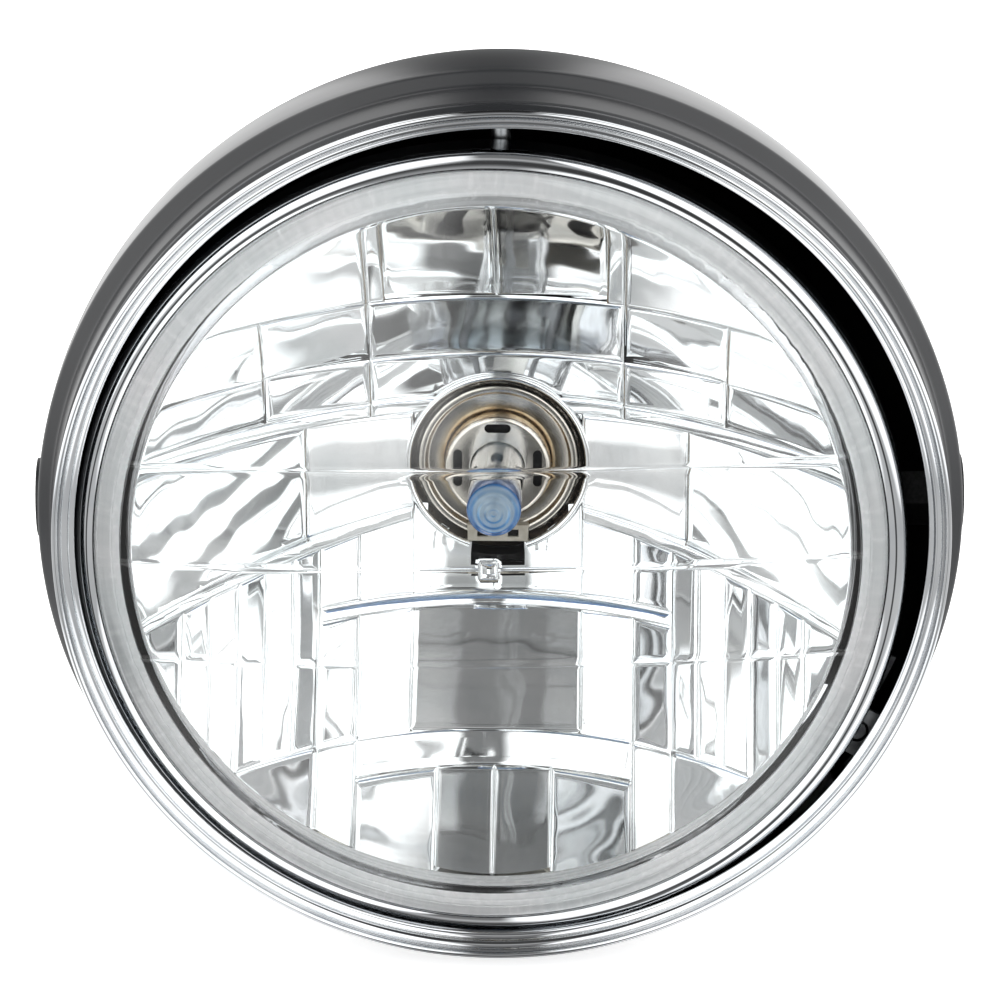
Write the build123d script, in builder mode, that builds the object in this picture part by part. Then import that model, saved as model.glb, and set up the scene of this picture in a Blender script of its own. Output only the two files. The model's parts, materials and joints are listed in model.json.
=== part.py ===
# A round motorcycle headlight: black bucket, chrome rim, and a lens unit that turns in the rim for aim.
# Millimetres. The lamp faces -Y, +X is to the right as seen from the front, +Z is up.
# The origin is the middle of the lamp's overall box.
import os
from math import asin, cos, pi, radians, sin, sqrt, tan

from build123d import *

os.makedirs("parts", exist_ok=True)

# The rim's radius sets the lamp's size; the other radii follow it by named steps.
rim_r = 100.0

# Bucket. Depths are measured back from the rim's lip.
mouth_proud = 0.2
mouth_r = rim_r + mouth_proud
mouth_wall = 1.4
collar_rise = 1.15
collar_r = mouth_r + collar_rise
collar_depth = 13.5
crease_rise = 3.25
crease_run = 2.1
crease_depth = collar_depth + crease_run
bucket_r = collar_r + crease_rise
bucket_wall = 2.0
ledge_inset = 0.3
ledge_r = mouth_r - ledge_inset
ledge_run = 2.4
ledge_depth = crease_depth + ledge_run
ledge_rise = 1.8
dome_gap = 0.2
dome_start = ledge_depth + ledge_rise + dome_gap
dome_length = 112.0
rear_cut = 3.6
rear_depth = dome_start + dome_length - rear_cut
back_run = 88.0
back_start = dome_start + back_run

# Chrome rim.
rim_width = 4.8
lip_r = rim_r - rim_width
bead_front = 3.75
rim_back = 4.4
rim_sheet = 0.8
lip_edge = 0.8
tab_inset = 2.4
tab_r = rim_r - tab_inset
rim_seat_width = 1.4
rim_seat_r = rim_r - rim_seat_width
tab_width = 14.0
hook_gap = 0.35
hook_rise = 3.2
joggle_run = 1.6
rim_screw_gap = 6.6
rim_screw_depth = dome_start + rim_screw_gap
rim_screw_r = 2.5
rim_screw_head_r = 4.4
rim_screw_head = 1.5
rim_screw_grip = 7.0
spot_face = 0.4
lower_tab_drop = 3.2
lower_tab_tail = 4.0
lower_tab_end = rim_screw_depth + lower_tab_tail
rim_nut_flats = 8.0
rim_nut_height = 3.4

# Place of the lens unit in the rim: off centre, and aimed a little to the left.
unit_x = -2.6
unit_z = -4.0
unit_depth = 4.2
unit_turn = -2.4

# Lens.
unit_margin = 8.0
flange_r = rim_r - unit_margin
flange_thick = 3.5
sight_inset = 3.2
sight_r = flange_r - sight_inset
shoulder_inset = 3.6
shoulder_r = sight_r - shoulder_inset
shoulder_rise = 2.5
dome_rise = 8.5
lens_thick = 3.4
line_spacing = 23.0
line_width = 0.9
line_height = 0.3
line_roll = 1.2
mark_size = 3.8

# Retaining ring and mounting ring.
ring_sheet = 1.0
ring_slack = 0.4
ring_bead = 1.3
ring_bead_inset = 1.0
ring_bead_r = flange_r - ring_bead_inset
ring_shoulder = -0.8
ring_tab_angles = (40, 160, 250)
ring_tab_width = 12.0
ring_screw_r = 1.5
ring_screw_head_r = 2.8
ring_screw_head = 1.9
ring_screw_inset = 2.8
ring_screw_circle = flange_r - ring_screw_inset
ring_tab_tail = 3.2
hole_slack = 0.1
gasket_thick = 0.8
gasket_width = 2.8
gasket_inner_r = flange_r - gasket_width
mount_ring_width = 5.8
mount_ring_inner_r = flange_r - mount_ring_width
mount_ring_thick = 1.5
ear_thick = 1.5
ear_width = 13.0
ear_inset = 1.7
ear_top_r = flange_r - ear_inset
ear_tail = 4.5

# Aim pivots.
pivot_depth = 17.0
ear_reach = pivot_depth + ear_tail
pivot_r = 2.2
pivot_clear = 0.05
pivot_head_r = 2.9
pivot_head = 0.9
pivot_reach = 3.0

# Aim adjuster.
adjuster_angle = -28.0
adjuster_out = 2.6
adjuster_circle = flange_r + adjuster_out
adjuster_r = 2.0
adjuster_slack = 0.7
adjuster_ear_width = 11.5
adjuster_ear_tail = 3.6
adjuster_ear_end = adjuster_circle + adjuster_ear_tail
notch_front = -1.0
notch_width = 15.0
nut_r = 3.6
nut_height = 4.0
bracket_depth = 24.0
bracket_sheet = 0.8
bracket_leg_from = -47.0
bracket_leg_to = -39.0
bracket_plate_to = -22.0
bracket_reach = 12.0
bracket_inner_r = rim_r - bracket_reach
adjuster_head_r = 4.0
adjuster_head = 2.8
driver_slot = 1.0
spring_wire_r = 0.4
spring_r = 3.6
spring_turns = 6

# Reflector. The facet pattern is drawn on a bowl of the pattern's radius and fitted to this one.
focal = 31.1
hole_r = 20.8
bowl_inset = 9.0
bowl_r = flange_r - bowl_inset
bowl_edge = 7.8
reflector_flange = 2.2
reflector_wall = 4.0
reflector_side = 2.8
wall_r = bowl_r + reflector_side
seat_depth = 2.0
bulb_seat = 1.5
neck_bore_r = hole_r + bulb_seat
neck_wall = 2.0
neck_r = neck_bore_r + neck_wall
neck_length = 8.0
notch_half = 6.4
notch_depth = 4.2
notch_drop = hole_r + notch_depth
pattern_r = 83.0
row_d = 12.5
band_height = 4.0
row_c = row_d + band_height
upper_height = 12.0
row_b = row_c + upper_height
top_height = 16.5
row_a = row_b + top_height
col_a = 25.5
col_gap = 4.0
col_b = col_a + col_gap
col_width = 23.5
col_c = col_b + col_width
wing_col = 44.5
shelf_inner = -10.4
shelf_inner_x = 20.0
shelf_fall = 11.1
shelf_run = 59.6
shelf_band = 3.0
row_e = -33.5
arch_band = 3.0
arch_top = row_e + arch_band
low_height = 24.5
row_f = row_e - low_height
low_band = 7.0
row_g = row_f - low_band
low_a = 13.5
low_b_width = 6.5
low_b = low_a + low_b_width
low_c_width = 12.2
low_c = low_b + low_c_width
low_d_width = 9.1
low_d = low_c + low_d_width
flute_pitch = 6.0
flute_count = 6

# Bulb.
bulb_slack = 0.4
flange_plate_r = neck_bore_r - bulb_slack
flange_plate = 1.2
collar_inset = 1.8
collar_rim_r = hole_r - collar_inset
collar_width = 2.0
collar_rim_in = collar_rim_r - collar_width
collar_rim = 1.7
cap_r = 12.5
cap_height = 6.0
cap_wall = 0.9
bulb_r = 6.3
bulb_wall = 0.7
bulb_tip = 39.0
base_r = 10.5
base_length = 17.0
blade_width = 7.8
blade_thick = 0.8
blade_length = 9.0
blade_offset = 6.6
lug_half = 7.2
lug_height = 4.0
lug_top = lug_height + hole_slack - sqrt(hole_r**2 - lug_half**2)
lug_proud = 2.8
shield_r = 4.6
shield_wall = 0.4
shield_length = 12.0
filament_r = 0.7
filament_length = 5.0
post_r = 0.35
post_x = 2.8
boot_wall = 1.8
boot_length = 15.0
boot_grip = 5.0
clip_wire_r = 0.8
clip_arm_x = 13.0

# Side mounts and wiring inlet.
stay_depth = 33.0
stay_pad_r = 9.0
stay_pad_proud = 1.2
stay_pad_thick = 5.8
stay_thread_r = 4.0
stay_clear_r = 4.4
stay_nut_flats = 13.0
stay_nut_length = 10.0
inlet_r = 12.0
inlet_bore_r = 7.5
inlet_flange_r = 15.5
inlet_flange = 2.4

# Frames. The lamp's section plane has the radius as x and forward as y.
lens_front = shoulder_rise + dome_rise + line_height
front_reach = lens_front - unit_depth
lip_y = -(rear_depth + inlet_flange - front_reach) / 2
lamp_axis = Axis((0, 0, 0), (0, 1, 0))
lamp_section = Plane(origin=(0, lip_y, 0), x_dir=(1, 0, 0), z_dir=(0, 0, -1))
turn = radians(unit_turn)
unit_forward = Vector(sin(turn), -cos(turn), 0)
unit_right = Vector(cos(turn), sin(turn), 0)
unit_origin = Vector(unit_x, lip_y + unit_depth, unit_z)
unit_axis = Axis(unit_origin, unit_forward)
unit_section = Plane(origin=unit_origin, x_dir=unit_right, z_dir=(0, 0, -1))


# A plane facing forward at a depth behind the rim's lip.
def lamp_front(depth):
    return Plane(origin=(0, lip_y + depth, 0), x_dir=(1, 0, 0), z_dir=(0, -1, 0))


# A plane facing forward in the lens unit, at a distance ahead of its ring.
def unit_front(ahead):
    return Plane(origin=unit_origin + unit_forward * ahead, x_dir=unit_right, z_dir=unit_forward)


# A plane facing up at a height, with x to the right and y backwards.
def level(height):
    return Plane(origin=(0, lip_y, height), x_dir=(1, 0, 0), z_dir=(0, 0, 1))


# Control points of a curve that follows an ellipse from its side toward its end.
def dome_curve(middle, side_r, end_length, angle):
    reach = 4 / 3 * tan(angle / 4)
    stop = (side_r * cos(angle), middle + end_length * sin(angle))
    return (
        (side_r, middle),
        (side_r, middle + end_length * reach),
        (stop[0] + side_r * sin(angle) * reach, stop[1] - end_length * cos(angle) * reach),
        stop,
    )


# Bucket: a revolved shell with a stepped mouth, an elliptical dome and a flat rear.
# It is one moulding. Its rear wall is a part of its own, so that collision stays thin round the wires.
inner_r = bucket_r - bucket_wall
inner_length = dome_length - bucket_wall
inner_rear = rear_depth - bucket_wall
rear_angle = asin((rear_depth - dome_start) / dome_length)
inner_rear_angle = asin((inner_rear - dome_start) / inner_length)
outer_dome = dome_curve(-dome_start, bucket_r, -dome_length, rear_angle)
inner_dome = dome_curve(-dome_start, inner_r, -inner_length, inner_rear_angle)
mouth_inner_r = mouth_r - mouth_wall
ledge_end = ledge_depth + ledge_rise
stay_pad_face = bucket_r + stay_pad_proud
stay_pad_inner = stay_pad_face - stay_pad_thick
screw_seat = bucket_r - spot_face
with BuildPart() as moulding_shell:
    with BuildSketch(lamp_section):
        with BuildLine():
            Line((inlet_r, -rear_depth), outer_dome[3])
            Bezier(*outer_dome)
            Line((bucket_r, -dome_start), (bucket_r, -crease_depth))
            Line((bucket_r, -crease_depth), (collar_r, -collar_depth))
            Line((collar_r, -collar_depth), (mouth_r, -rim_back))
            Line((mouth_r, -rim_back), (mouth_inner_r, -rim_back))
            Line((mouth_inner_r, -rim_back), (ledge_r, -ledge_depth))
            Line((ledge_r, -ledge_depth), (inner_r, -ledge_end))
            Line((inner_r, -ledge_end), (inner_r, -dome_start))
            Bezier(*inner_dome)
            Line(inner_dome[3], (inlet_r, -inner_rear))
            Line((inlet_r, -inner_rear), (inlet_r, -rear_depth))
        make_face()
    revolve(axis=lamp_axis)
    for side in (-1, 1):
        pad_face = Plane(
            origin=(side * stay_pad_face, lip_y + stay_depth, 0), x_dir=(0, 1, 0), z_dir=(side, 0, 0)
        )
        with BuildSketch(pad_face):
            Circle(stay_pad_r)
        extrude(amount=-stay_pad_thick)
        with BuildSketch(pad_face):
            Circle(stay_clear_r)
        extrude(amount=-stay_pad_thick, mode=Mode.SUBTRACT)
    with BuildSketch(level(-screw_seat)):
        with Locations((0, rim_screw_depth)):
            Circle(rim_screw_head_r + hole_slack)
    extrude(amount=-rim_screw_head, mode=Mode.SUBTRACT)
    with BuildSketch(level(-screw_seat)):
        with Locations((0, rim_screw_depth)):
            Circle(rim_screw_r + hole_slack)
    extrude(amount=bucket_wall + spot_face, mode=Mode.SUBTRACT)
with BuildPart() as bucket:
    add(moulding_shell.part)
    split(bisect_by=lamp_front(back_start), keep=Keep.TOP)
bucket.part.label = "bucket"
export_step(bucket.part, "parts/bucket.step")
with BuildPart() as bucket_back:
    add(moulding_shell.part)
    split(bisect_by=lamp_front(back_start), keep=Keep.BOTTOM)
bucket_back.part.label = "bucket_back"
export_step(bucket_back.part, "parts/bucket_back.step")

# Weld nuts behind the two side pads, for the bolts of the fork stays.
for side, name in ((-1, "left_stay_nut"), (1, "right_stay_nut")):
    nut_face = Plane(
        origin=(side * stay_pad_inner, lip_y + stay_depth, 0), x_dir=(0, 1, 0), z_dir=(side, 0, 0)
    )
    with BuildPart() as stay_nut:
        with BuildSketch(nut_face):
            RegularPolygon(stay_nut_flats / 2, 6, major_radius=False)
            Circle(stay_thread_r, mode=Mode.SUBTRACT)
        extrude(amount=-stay_nut_length)
    stay_nut.part.label = name
    export_step(stay_nut.part, "parts/" + name + ".step")

# Rubber grommet in the rear wiring hole.
with BuildPart() as wiring_grommet:
    with BuildSketch(lamp_section):
        with BuildLine():
            Polyline(
                (inlet_bore_r, -rear_depth - inlet_flange),
                (inlet_flange_r, -rear_depth - inlet_flange),
                (inlet_flange_r, -rear_depth),
                (inlet_r, -rear_depth),
                (inlet_r, -inner_rear),
                (inlet_flange_r, -inner_rear),
                (inlet_flange_r, -inner_rear + inlet_flange),
                (inlet_bore_r, -inner_rear + inlet_flange),
                close=True,
            )
        make_face()
    revolve(axis=lamp_axis)
wiring_grommet.part.label = "wiring_grommet"
export_step(wiring_grommet.part, "parts/wiring_grommet.step")


# A point on the rim's moulding: share of its width out from the lip, and of its height ahead of it.
def moulding(across, ahead):
    return (lip_r + across * (rim_r - lip_r), ahead * bead_front)


# Rim: pressed sheet with two coves and an outer bead, a hook tab at the top and a screw tab below.
hook_front = ledge_end + hook_gap
hook_back = hook_front + rim_sheet
tab_outer = tab_r + rim_sheet
seat_front = rim_back - rim_sheet
drop_start = ledge_end + hook_gap
lower_tab = tab_r + lower_tab_drop
side_plane = Plane(origin=(0, lip_y, 0), x_dir=(0, 1, 0), z_dir=(1, 0, 0))
with BuildPart() as rim:
    with BuildSketch(lamp_section):
        with BuildLine():
            Line((lip_r, -lip_edge), moulding(0, -0.05))
            Line(moulding(0, -0.05), moulding(0.05, 0.013))
            ThreePointArc(moulding(0.05, 0.013), moulding(0.225, 0.12), moulding(0.29, 0.41))
            Line(moulding(0.29, 0.41), moulding(0.365, 0.425))
            ThreePointArc(moulding(0.365, 0.425), moulding(0.54, 0.52), moulding(0.604, 0.8))
            Line(moulding(0.604, 0.8), moulding(0.665, 0.81))
            Line(moulding(0.665, 0.81), moulding(0.7, 0.69))
            Line(moulding(0.7, 0.69), moulding(0.74, 0.73))
            ThreePointArc(moulding(0.74, 0.73), moulding(0.88, 1.0), moulding(1.0, 0.8))
            Line(moulding(1.0, 0.8), (rim_r, -rim_back))
            Line((rim_r, -rim_back), (rim_seat_r, -rim_back))
            Line((rim_seat_r, -rim_back), (rim_seat_r, -seat_front))
            Line((rim_seat_r, -seat_front), (rim_r - rim_sheet, -seat_front))
            Line((rim_r - rim_sheet, -seat_front), (rim_r - rim_sheet, 0.5 * bead_front))
            Line((rim_r - rim_sheet, 0.5 * bead_front), moulding(0.64, 0.42))
            Line(moulding(0.64, 0.42), moulding(0.6, 0.28))
            Line(moulding(0.6, 0.28), moulding(0.37, 0.15))
            Line(moulding(0.37, 0.15), moulding(0.3, -0.1))
            Line(moulding(0.3, -0.1), (lip_r + rim_sheet, -lip_edge))
            Line((lip_r + rim_sheet, -lip_edge), (lip_r, -lip_edge))
        make_face()
    revolve(axis=lamp_axis)
    with BuildSketch(side_plane):
        with BuildLine():
            Polyline(
                (seat_front, rim_r - rim_sheet / 2),
                (seat_front, tab_r),
                (hook_back, tab_r),
                (hook_back, tab_outer + hook_rise),
                (hook_front, tab_outer + hook_rise),
                (hook_front, tab_outer),
                (rim_back, tab_outer),
                (rim_back, rim_r - rim_sheet / 2),
                close=True,
            )
        make_face()
        with BuildLine():
            Polyline(
                (seat_front, -rim_r + rim_sheet / 2),
                (seat_front, -tab_r),
                (drop_start + rim_sheet / 2, -tab_r),
                (drop_start + joggle_run + rim_sheet / 2, -lower_tab),
                (lower_tab_end, -lower_tab),
                (lower_tab_end, -lower_tab - rim_sheet),
                (drop_start + joggle_run, -lower_tab - rim_sheet),
                (drop_start, -tab_outer),
                (rim_back, -tab_outer),
                (rim_back, -rim_r + rim_sheet / 2),
                close=True,
            )
        make_face()
    extrude(amount=tab_width / 2, both=True)
    with BuildSketch(level(tab_r)):
        with Locations((0, pivot_depth)):
            Circle(pivot_r)
    extrude(amount=rim_sheet, mode=Mode.SUBTRACT)
    with BuildSketch(level(-tab_r)):
        with Locations((0, pivot_depth)):
            Circle(pivot_r)
    extrude(amount=-rim_sheet, mode=Mode.SUBTRACT)
    with BuildSketch(level(-lower_tab)):
        with Locations((0, rim_screw_depth)):
            Circle(rim_screw_r + hole_slack)
    extrude(amount=-rim_sheet, mode=Mode.SUBTRACT)
rim.part.label = "rim"
export_step(rim.part, "parts/rim.step")

# Screw at the bottom that holds the rim in the bucket, and its nut on the tab.
with BuildPart() as rim_screw:
    with BuildSketch(level(-screw_seat)):
        with Locations((0, rim_screw_depth)):
            Circle(rim_screw_head_r)
    extrude(amount=-rim_screw_head)
    with BuildSketch(level(-screw_seat - rim_screw_head)):
        with Locations((0, rim_screw_depth)):
            Rectangle(1.6 * rim_screw_r, 0.4 * rim_screw_r)
            Rectangle(0.4 * rim_screw_r, 1.6 * rim_screw_r)
    extrude(amount=0.6 * rim_screw_head, mode=Mode.SUBTRACT)
    with BuildSketch(level(-screw_seat)):
        with Locations((0, rim_screw_depth)):
            Circle(rim_screw_r)
    extrude(amount=rim_screw_grip)
rim_screw.part.label = "rim_screw"
export_step(rim_screw.part, "parts/rim_screw.step")
with BuildPart() as rim_nut:
    with BuildSketch(level(-lower_tab)):
        with Locations((0, rim_screw_depth)):
            RegularPolygon(rim_nut_flats / 2, 6, major_radius=False)
            Circle(rim_screw_r, mode=Mode.SUBTRACT)
    extrude(amount=rim_nut_height)
rim_nut.part.label = "rim_nut"
export_step(rim_nut.part, "parts/rim_nut.step")

# Pivot pins riveted in the two tabs; the lens unit turns on them.
ear_upper = unit_z + ear_top_r
ear_lower = unit_z - ear_top_r
with BuildPart() as upper_pivot:
    with BuildSketch(level(tab_outer)):
        with Locations((0, pivot_depth)):
            Circle(pivot_head_r)
    extrude(amount=pivot_head)
    with BuildSketch(level(tab_outer)):
        with Locations((0, pivot_depth)):
            Circle(pivot_r)
    extrude(amount=-(tab_outer - ear_upper + ear_thick + pivot_reach))
upper_pivot.part.label = "upper_pivot"
export_step(upper_pivot.part, "parts/upper_pivot.step")
with BuildPart() as lower_pivot:
    with BuildSketch(level(-tab_outer)):
        with Locations((0, pivot_depth)):
            Circle(pivot_head_r)
    extrude(amount=-pivot_head)
    with BuildSketch(level(-tab_outer)):
        with Locations((0, pivot_depth)):
            Circle(pivot_r)
    extrude(amount=tab_outer + ear_lower + ear_thick + pivot_reach)
lower_pivot.part.label = "lower_pivot"
export_step(lower_pivot.part, "parts/lower_pivot.step")

# Mounting ring behind the reflector's flange, with two pivot ears and the adjuster ear.
gasket_front = -flange_thick
reflector_front = gasket_front - gasket_thick
mount_front = reflector_front - reflector_flange
mount_back = mount_front - mount_ring_thick
ring_back = mount_back - ring_sheet
ear_x = adjuster_circle * cos(radians(adjuster_angle))
ear_z = adjuster_circle * sin(radians(adjuster_angle))
ear_root = (mount_ring_inner_r + flange_r) / 2
ear_middle = (adjuster_ear_end + ear_root) / 2
ear_length = adjuster_ear_end - ear_root
ear_place = unit_front(mount_front).from_local_coords((ear_x, ear_z, 0))
screw_x = ear_place.X
screw_z = ear_place.Z
with BuildPart() as mount_ring:
    with BuildSketch(unit_front(mount_front)):
        Circle(flange_r)
        Circle(mount_ring_inner_r, mode=Mode.SUBTRACT)
        with PolarLocations(ear_middle, 1, adjuster_angle):
            Rectangle(ear_length, adjuster_ear_width)
        with Locations((ear_x, ear_z)):
            Circle(adjuster_r + adjuster_slack, mode=Mode.SUBTRACT)
        for tab_angle in ring_tab_angles:
            with PolarLocations(ring_screw_circle, 1, tab_angle):
                Circle(ring_screw_r, mode=Mode.SUBTRACT)
    extrude(amount=-mount_ring_thick)
    ear_start = unit_depth - mount_front + mount_ring_thick / 2
    for ear_level in (ear_upper - ear_thick, ear_lower):
        with BuildSketch(level(ear_level)):
            with Locations((0, (ear_start + ear_reach) / 2)):
                Rectangle(ear_width, ear_reach - ear_start)
            with Locations((0, pivot_depth)):
                Circle(pivot_r + pivot_clear, mode=Mode.SUBTRACT)
        extrude(amount=ear_thick)
mount_ring.part.label = "mount_ring"
export_step(mount_ring.part, "parts/mount_ring.step")

# Chrome retaining ring: a rounded bead over the lens flange, a skirt, and three tabs bent in behind.
skirt_in = flange_r + ring_slack
skirt_out = skirt_in + ring_sheet
with BuildPart() as retaining_ring:
    with BuildSketch(unit_section):
        with BuildLine():
            Line((sight_r, 0), (sight_r, 0.4 * ring_bead))
            ThreePointArc(
                (sight_r, 0.4 * ring_bead),
                (0.6 * sight_r + 0.4 * ring_bead_r, 0.85 * ring_bead),
                (ring_bead_r, ring_bead),
            )
            ThreePointArc(
                (ring_bead_r, ring_bead),
                (0.3 * ring_bead_r + 0.7 * skirt_out, 0.66 * ring_bead + 0.34 * ring_shoulder),
                (skirt_out, ring_shoulder),
            )
            Line((skirt_out, ring_shoulder), (skirt_out, ring_back))
            Line((skirt_out, ring_back), (skirt_in, ring_back))
            Line((skirt_in, ring_back), (skirt_in, 0))
            Line((skirt_in, 0), (sight_r, 0))
        make_face()
    revolve(axis=unit_axis)
    tab_inner = ring_screw_circle - ring_tab_tail
    tab_reach = skirt_in + ring_sheet / 2
    with BuildSketch(unit_front(mount_back)):
        for tab_angle in ring_tab_angles:
            with PolarLocations((tab_inner + tab_reach) / 2, 1, tab_angle):
                Rectangle(tab_reach - tab_inner, ring_tab_width)
            with PolarLocations(ring_screw_circle, 1, tab_angle):
                Circle(ring_screw_r + hole_slack, mode=Mode.SUBTRACT)
    extrude(amount=ring_back - mount_back)
    with BuildSketch(unit_front(notch_front)):
        with PolarLocations(skirt_out, 1, adjuster_angle):
            Rectangle(6 * ring_sheet, notch_width)
    extrude(amount=ring_back - notch_front, mode=Mode.SUBTRACT)
retaining_ring.part.label = "retaining_ring"
export_step(retaining_ring.part, "parts/retaining_ring.step")

# Three small screws through the ring's tabs into the mounting ring.
with BuildPart() as ring_screws:
    for tab_angle in ring_tab_angles:
        with BuildSketch(unit_front(ring_back)):
            with PolarLocations(ring_screw_circle, 1, tab_angle):
                Circle(ring_screw_head_r)
        extrude(amount=-ring_screw_head)
        with BuildSketch(unit_front(ring_back - ring_screw_head)):
            with PolarLocations(ring_screw_circle, 1, tab_angle):
                Rectangle(1.4 * ring_screw_head_r, 0.3 * ring_screw_head_r)
        extrude(amount=0.5 * ring_screw_head, mode=Mode.SUBTRACT)
        with BuildSketch(unit_front(ring_back)):
            with PolarLocations(ring_screw_circle, 1, tab_angle):
                Circle(ring_screw_r)
        extrude(amount=mount_front - hole_slack - ring_back)
ring_screws.part.label = "ring_screws"
export_step(ring_screws.part, "parts/ring_screws.step")

# Lens: clear glass dome with a flange, three fine moulded lines and a small square mark.
dome_top = shoulder_rise + dome_rise
ball_r = (shoulder_r**2 + dome_rise**2) / (2 * dome_rise)
ball_centre = dome_top - ball_r


# Height of a sphere about the lens dome's centre, at a distance from the axis.
def ball(radius, out):
    return ball_centre + sqrt(radius**2 - out**2)


line_top = ball_r + line_height
line_foot = ball_r - line_height
line_end = shoulder_r - line_width
with BuildPart() as lens_lines:
    with BuildSketch(unit_section):
        with BuildLine():
            Line((0, ball(line_foot, 0)), (0, ball(line_top, 0)))
            ThreePointArc(
                (0, ball(line_top, 0)),
                (line_end / 2, ball(line_top, line_end / 2)),
                (line_end, ball(line_top, line_end)),
            )
            Line((line_end, ball(line_top, line_end)), (line_end, ball(line_foot, line_end)))
            ThreePointArc(
                (line_end, ball(line_foot, line_end)),
                (line_end / 2, ball(line_foot, line_end / 2)),
                (0, ball(line_foot, 0)),
            )
        make_face()
    revolve(axis=unit_axis)
    with BuildSketch(unit_front(0)):
        for line_z in (-line_spacing, 0, line_spacing):
            with Locations((-line_z * sin(radians(line_roll)), line_z)):
                Rectangle(2 * shoulder_r, line_width, rotation=line_roll)
        Rectangle(mark_size, mark_size)
    extrude(amount=2 * dome_top, mode=Mode.INTERSECT)
inside_r = ball_r - lens_thick
inside_out = bowl_r - shoulder_rise
with BuildPart() as lens:
    with BuildSketch(unit_section):
        with BuildLine():
            ThreePointArc(
                (0, dome_top),
                (shoulder_r / 2, ball(ball_r, shoulder_r / 2)),
                (shoulder_r, shoulder_rise),
            )
            ThreePointArc(
                (shoulder_r, shoulder_rise),
                (0.35 * shoulder_r + 0.65 * sight_r, 0.72 * shoulder_rise),
                (sight_r - ring_slack / 2, 0),
            )
            Line((sight_r - ring_slack / 2, 0), (flange_r, 0))
            Line((flange_r, 0), (flange_r, -flange_thick))
            Line((flange_r, -flange_thick), (bowl_r, -flange_thick))
            Line((bowl_r, -flange_thick), (inside_out, ball(inside_r, inside_out)))
            ThreePointArc(
                (inside_out, ball(inside_r, inside_out)),
                (inside_out / 2, ball(inside_r, inside_out / 2)),
                (0, ball(inside_r, 0)),
            )
            Line((0, ball(inside_r, 0)), (0, dome_top))
        make_face()
    revolve(axis=unit_axis)
    add(lens_lines.part)
lens.part.label = "lens"
export_step(lens.part, "parts/lens.step")

# Seal between the lens and the reflector.
with BuildPart() as lens_gasket:
    with BuildSketch(unit_front(gasket_front)):
        Circle(flange_r)
        Circle(gasket_inner_r, mode=Mode.SUBTRACT)
    extrude(amount=-gasket_thick)
lens_gasket.part.label = "lens_gasket"
export_step(lens_gasket.part, "parts/lens_gasket.step")

# Adjuster: bracket welded inside the rim, long screw, spring, and the nut on the ring's ear.
plate_front = bracket_depth - bracket_sheet
leg_front = seat_front - bracket_sheet
foot_r = rim_r - rim_sheet


# A flat ring sector about the lamp's axis, from one angle to another in degrees.
def sector(small_r, large_r, start, end):
    start_dir = Vector(cos(radians(start)), sin(radians(start)), 0)
    end_dir = Vector(cos(radians(end)), sin(radians(end)), 0)
    with BuildSketch() as flat:
        with BuildLine():
            Line(start_dir * small_r, start_dir * large_r)
            CenterArc((0, 0), large_r, start, end - start)
            Line(end_dir * large_r, end_dir * small_r)
            CenterArc((0, 0), small_r, start, end - start)
        make_face()
    return flat.sketch


bracket_foot = sector(tab_r, foot_r, bracket_leg_from, bracket_leg_to)
bracket_leg = sector(tab_r, tab_outer, bracket_leg_from, bracket_leg_to)
bracket_plate = sector(bracket_inner_r, tab_outer, bracket_leg_from, bracket_plate_to)
with BuildPart() as adjuster_bracket:
    with BuildSketch(lamp_front(leg_front)):
        add(bracket_foot)
    extrude(amount=-bracket_sheet)
    with BuildSketch(lamp_front(leg_front)):
        add(bracket_leg)
    extrude(amount=-(bracket_depth - leg_front))
    with BuildSketch(lamp_front(plate_front)):
        add(bracket_plate)
        with Locations((screw_x, screw_z)):
            Circle(adjuster_r + pivot_clear, mode=Mode.SUBTRACT)
    extrude(amount=-bracket_sheet)
adjuster_bracket.part.label = "adjuster_bracket"
export_step(adjuster_bracket.part, "parts/adjuster_bracket.step")

ear_front_depth = ear_place.Y - lip_y
with BuildPart() as adjuster_screw:
    with BuildSketch(lamp_front(bracket_depth)):
        with Locations((screw_x, screw_z)):
            Circle(adjuster_head_r)
    extrude(amount=-adjuster_head)
    with BuildSketch(lamp_front(bracket_depth + adjuster_head)):
        with Locations((screw_x, screw_z)):
            Rectangle(3 * adjuster_head_r, driver_slot)
    extrude(amount=0.5 * adjuster_head, mode=Mode.SUBTRACT)
    with BuildSketch(lamp_front(bracket_depth)):
        with Locations((screw_x, screw_z)):
            Circle(adjuster_r)
    extrude(amount=bracket_depth - ear_front_depth)
adjuster_screw.part.label = "adjuster_screw"
export_step(adjuster_screw.part, "parts/adjuster_screw.step")

with BuildPart() as adjuster_nut:
    with BuildSketch(unit_front(mount_back)):
        with Locations((ear_x, ear_z)):
            Circle(nut_r)
            Circle(adjuster_r + adjuster_slack, mode=Mode.SUBTRACT)
    extrude(amount=-nut_height)
adjuster_nut.part.label = "adjuster_nut"
export_step(adjuster_nut.part, "parts/adjuster_nut.step")

# Spring between the nut and the bracket plate, a round wire swept along a helix.
nut_back = unit_front(mount_back - nut_height).from_local_coords((ear_x, ear_z, 0))
nut_tilt = 2 * nut_r * sin(abs(turn))
spring_start = nut_back.Y - lip_y + spring_wire_r + nut_tilt
spring_length = plate_front - spring_wire_r - spring_start
spring_foot = (screw_x, lip_y + spring_start, screw_z)
with BuildPart() as adjuster_spring:
    with BuildLine() as spring_path:
        Helix(spring_length / spring_turns, spring_length, spring_r, center=spring_foot, direction=(0, 1, 0))
    with BuildSketch(Plane(origin=spring_path.line @ 0, z_dir=spring_path.line % 0)):
        RegularPolygon(spring_wire_r, 6)
    sweep(path=spring_path.line, is_frenet=True)
adjuster_spring.part.label = "adjuster_spring"
export_step(adjuster_spring.part, "parts/adjuster_spring.step")

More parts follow.
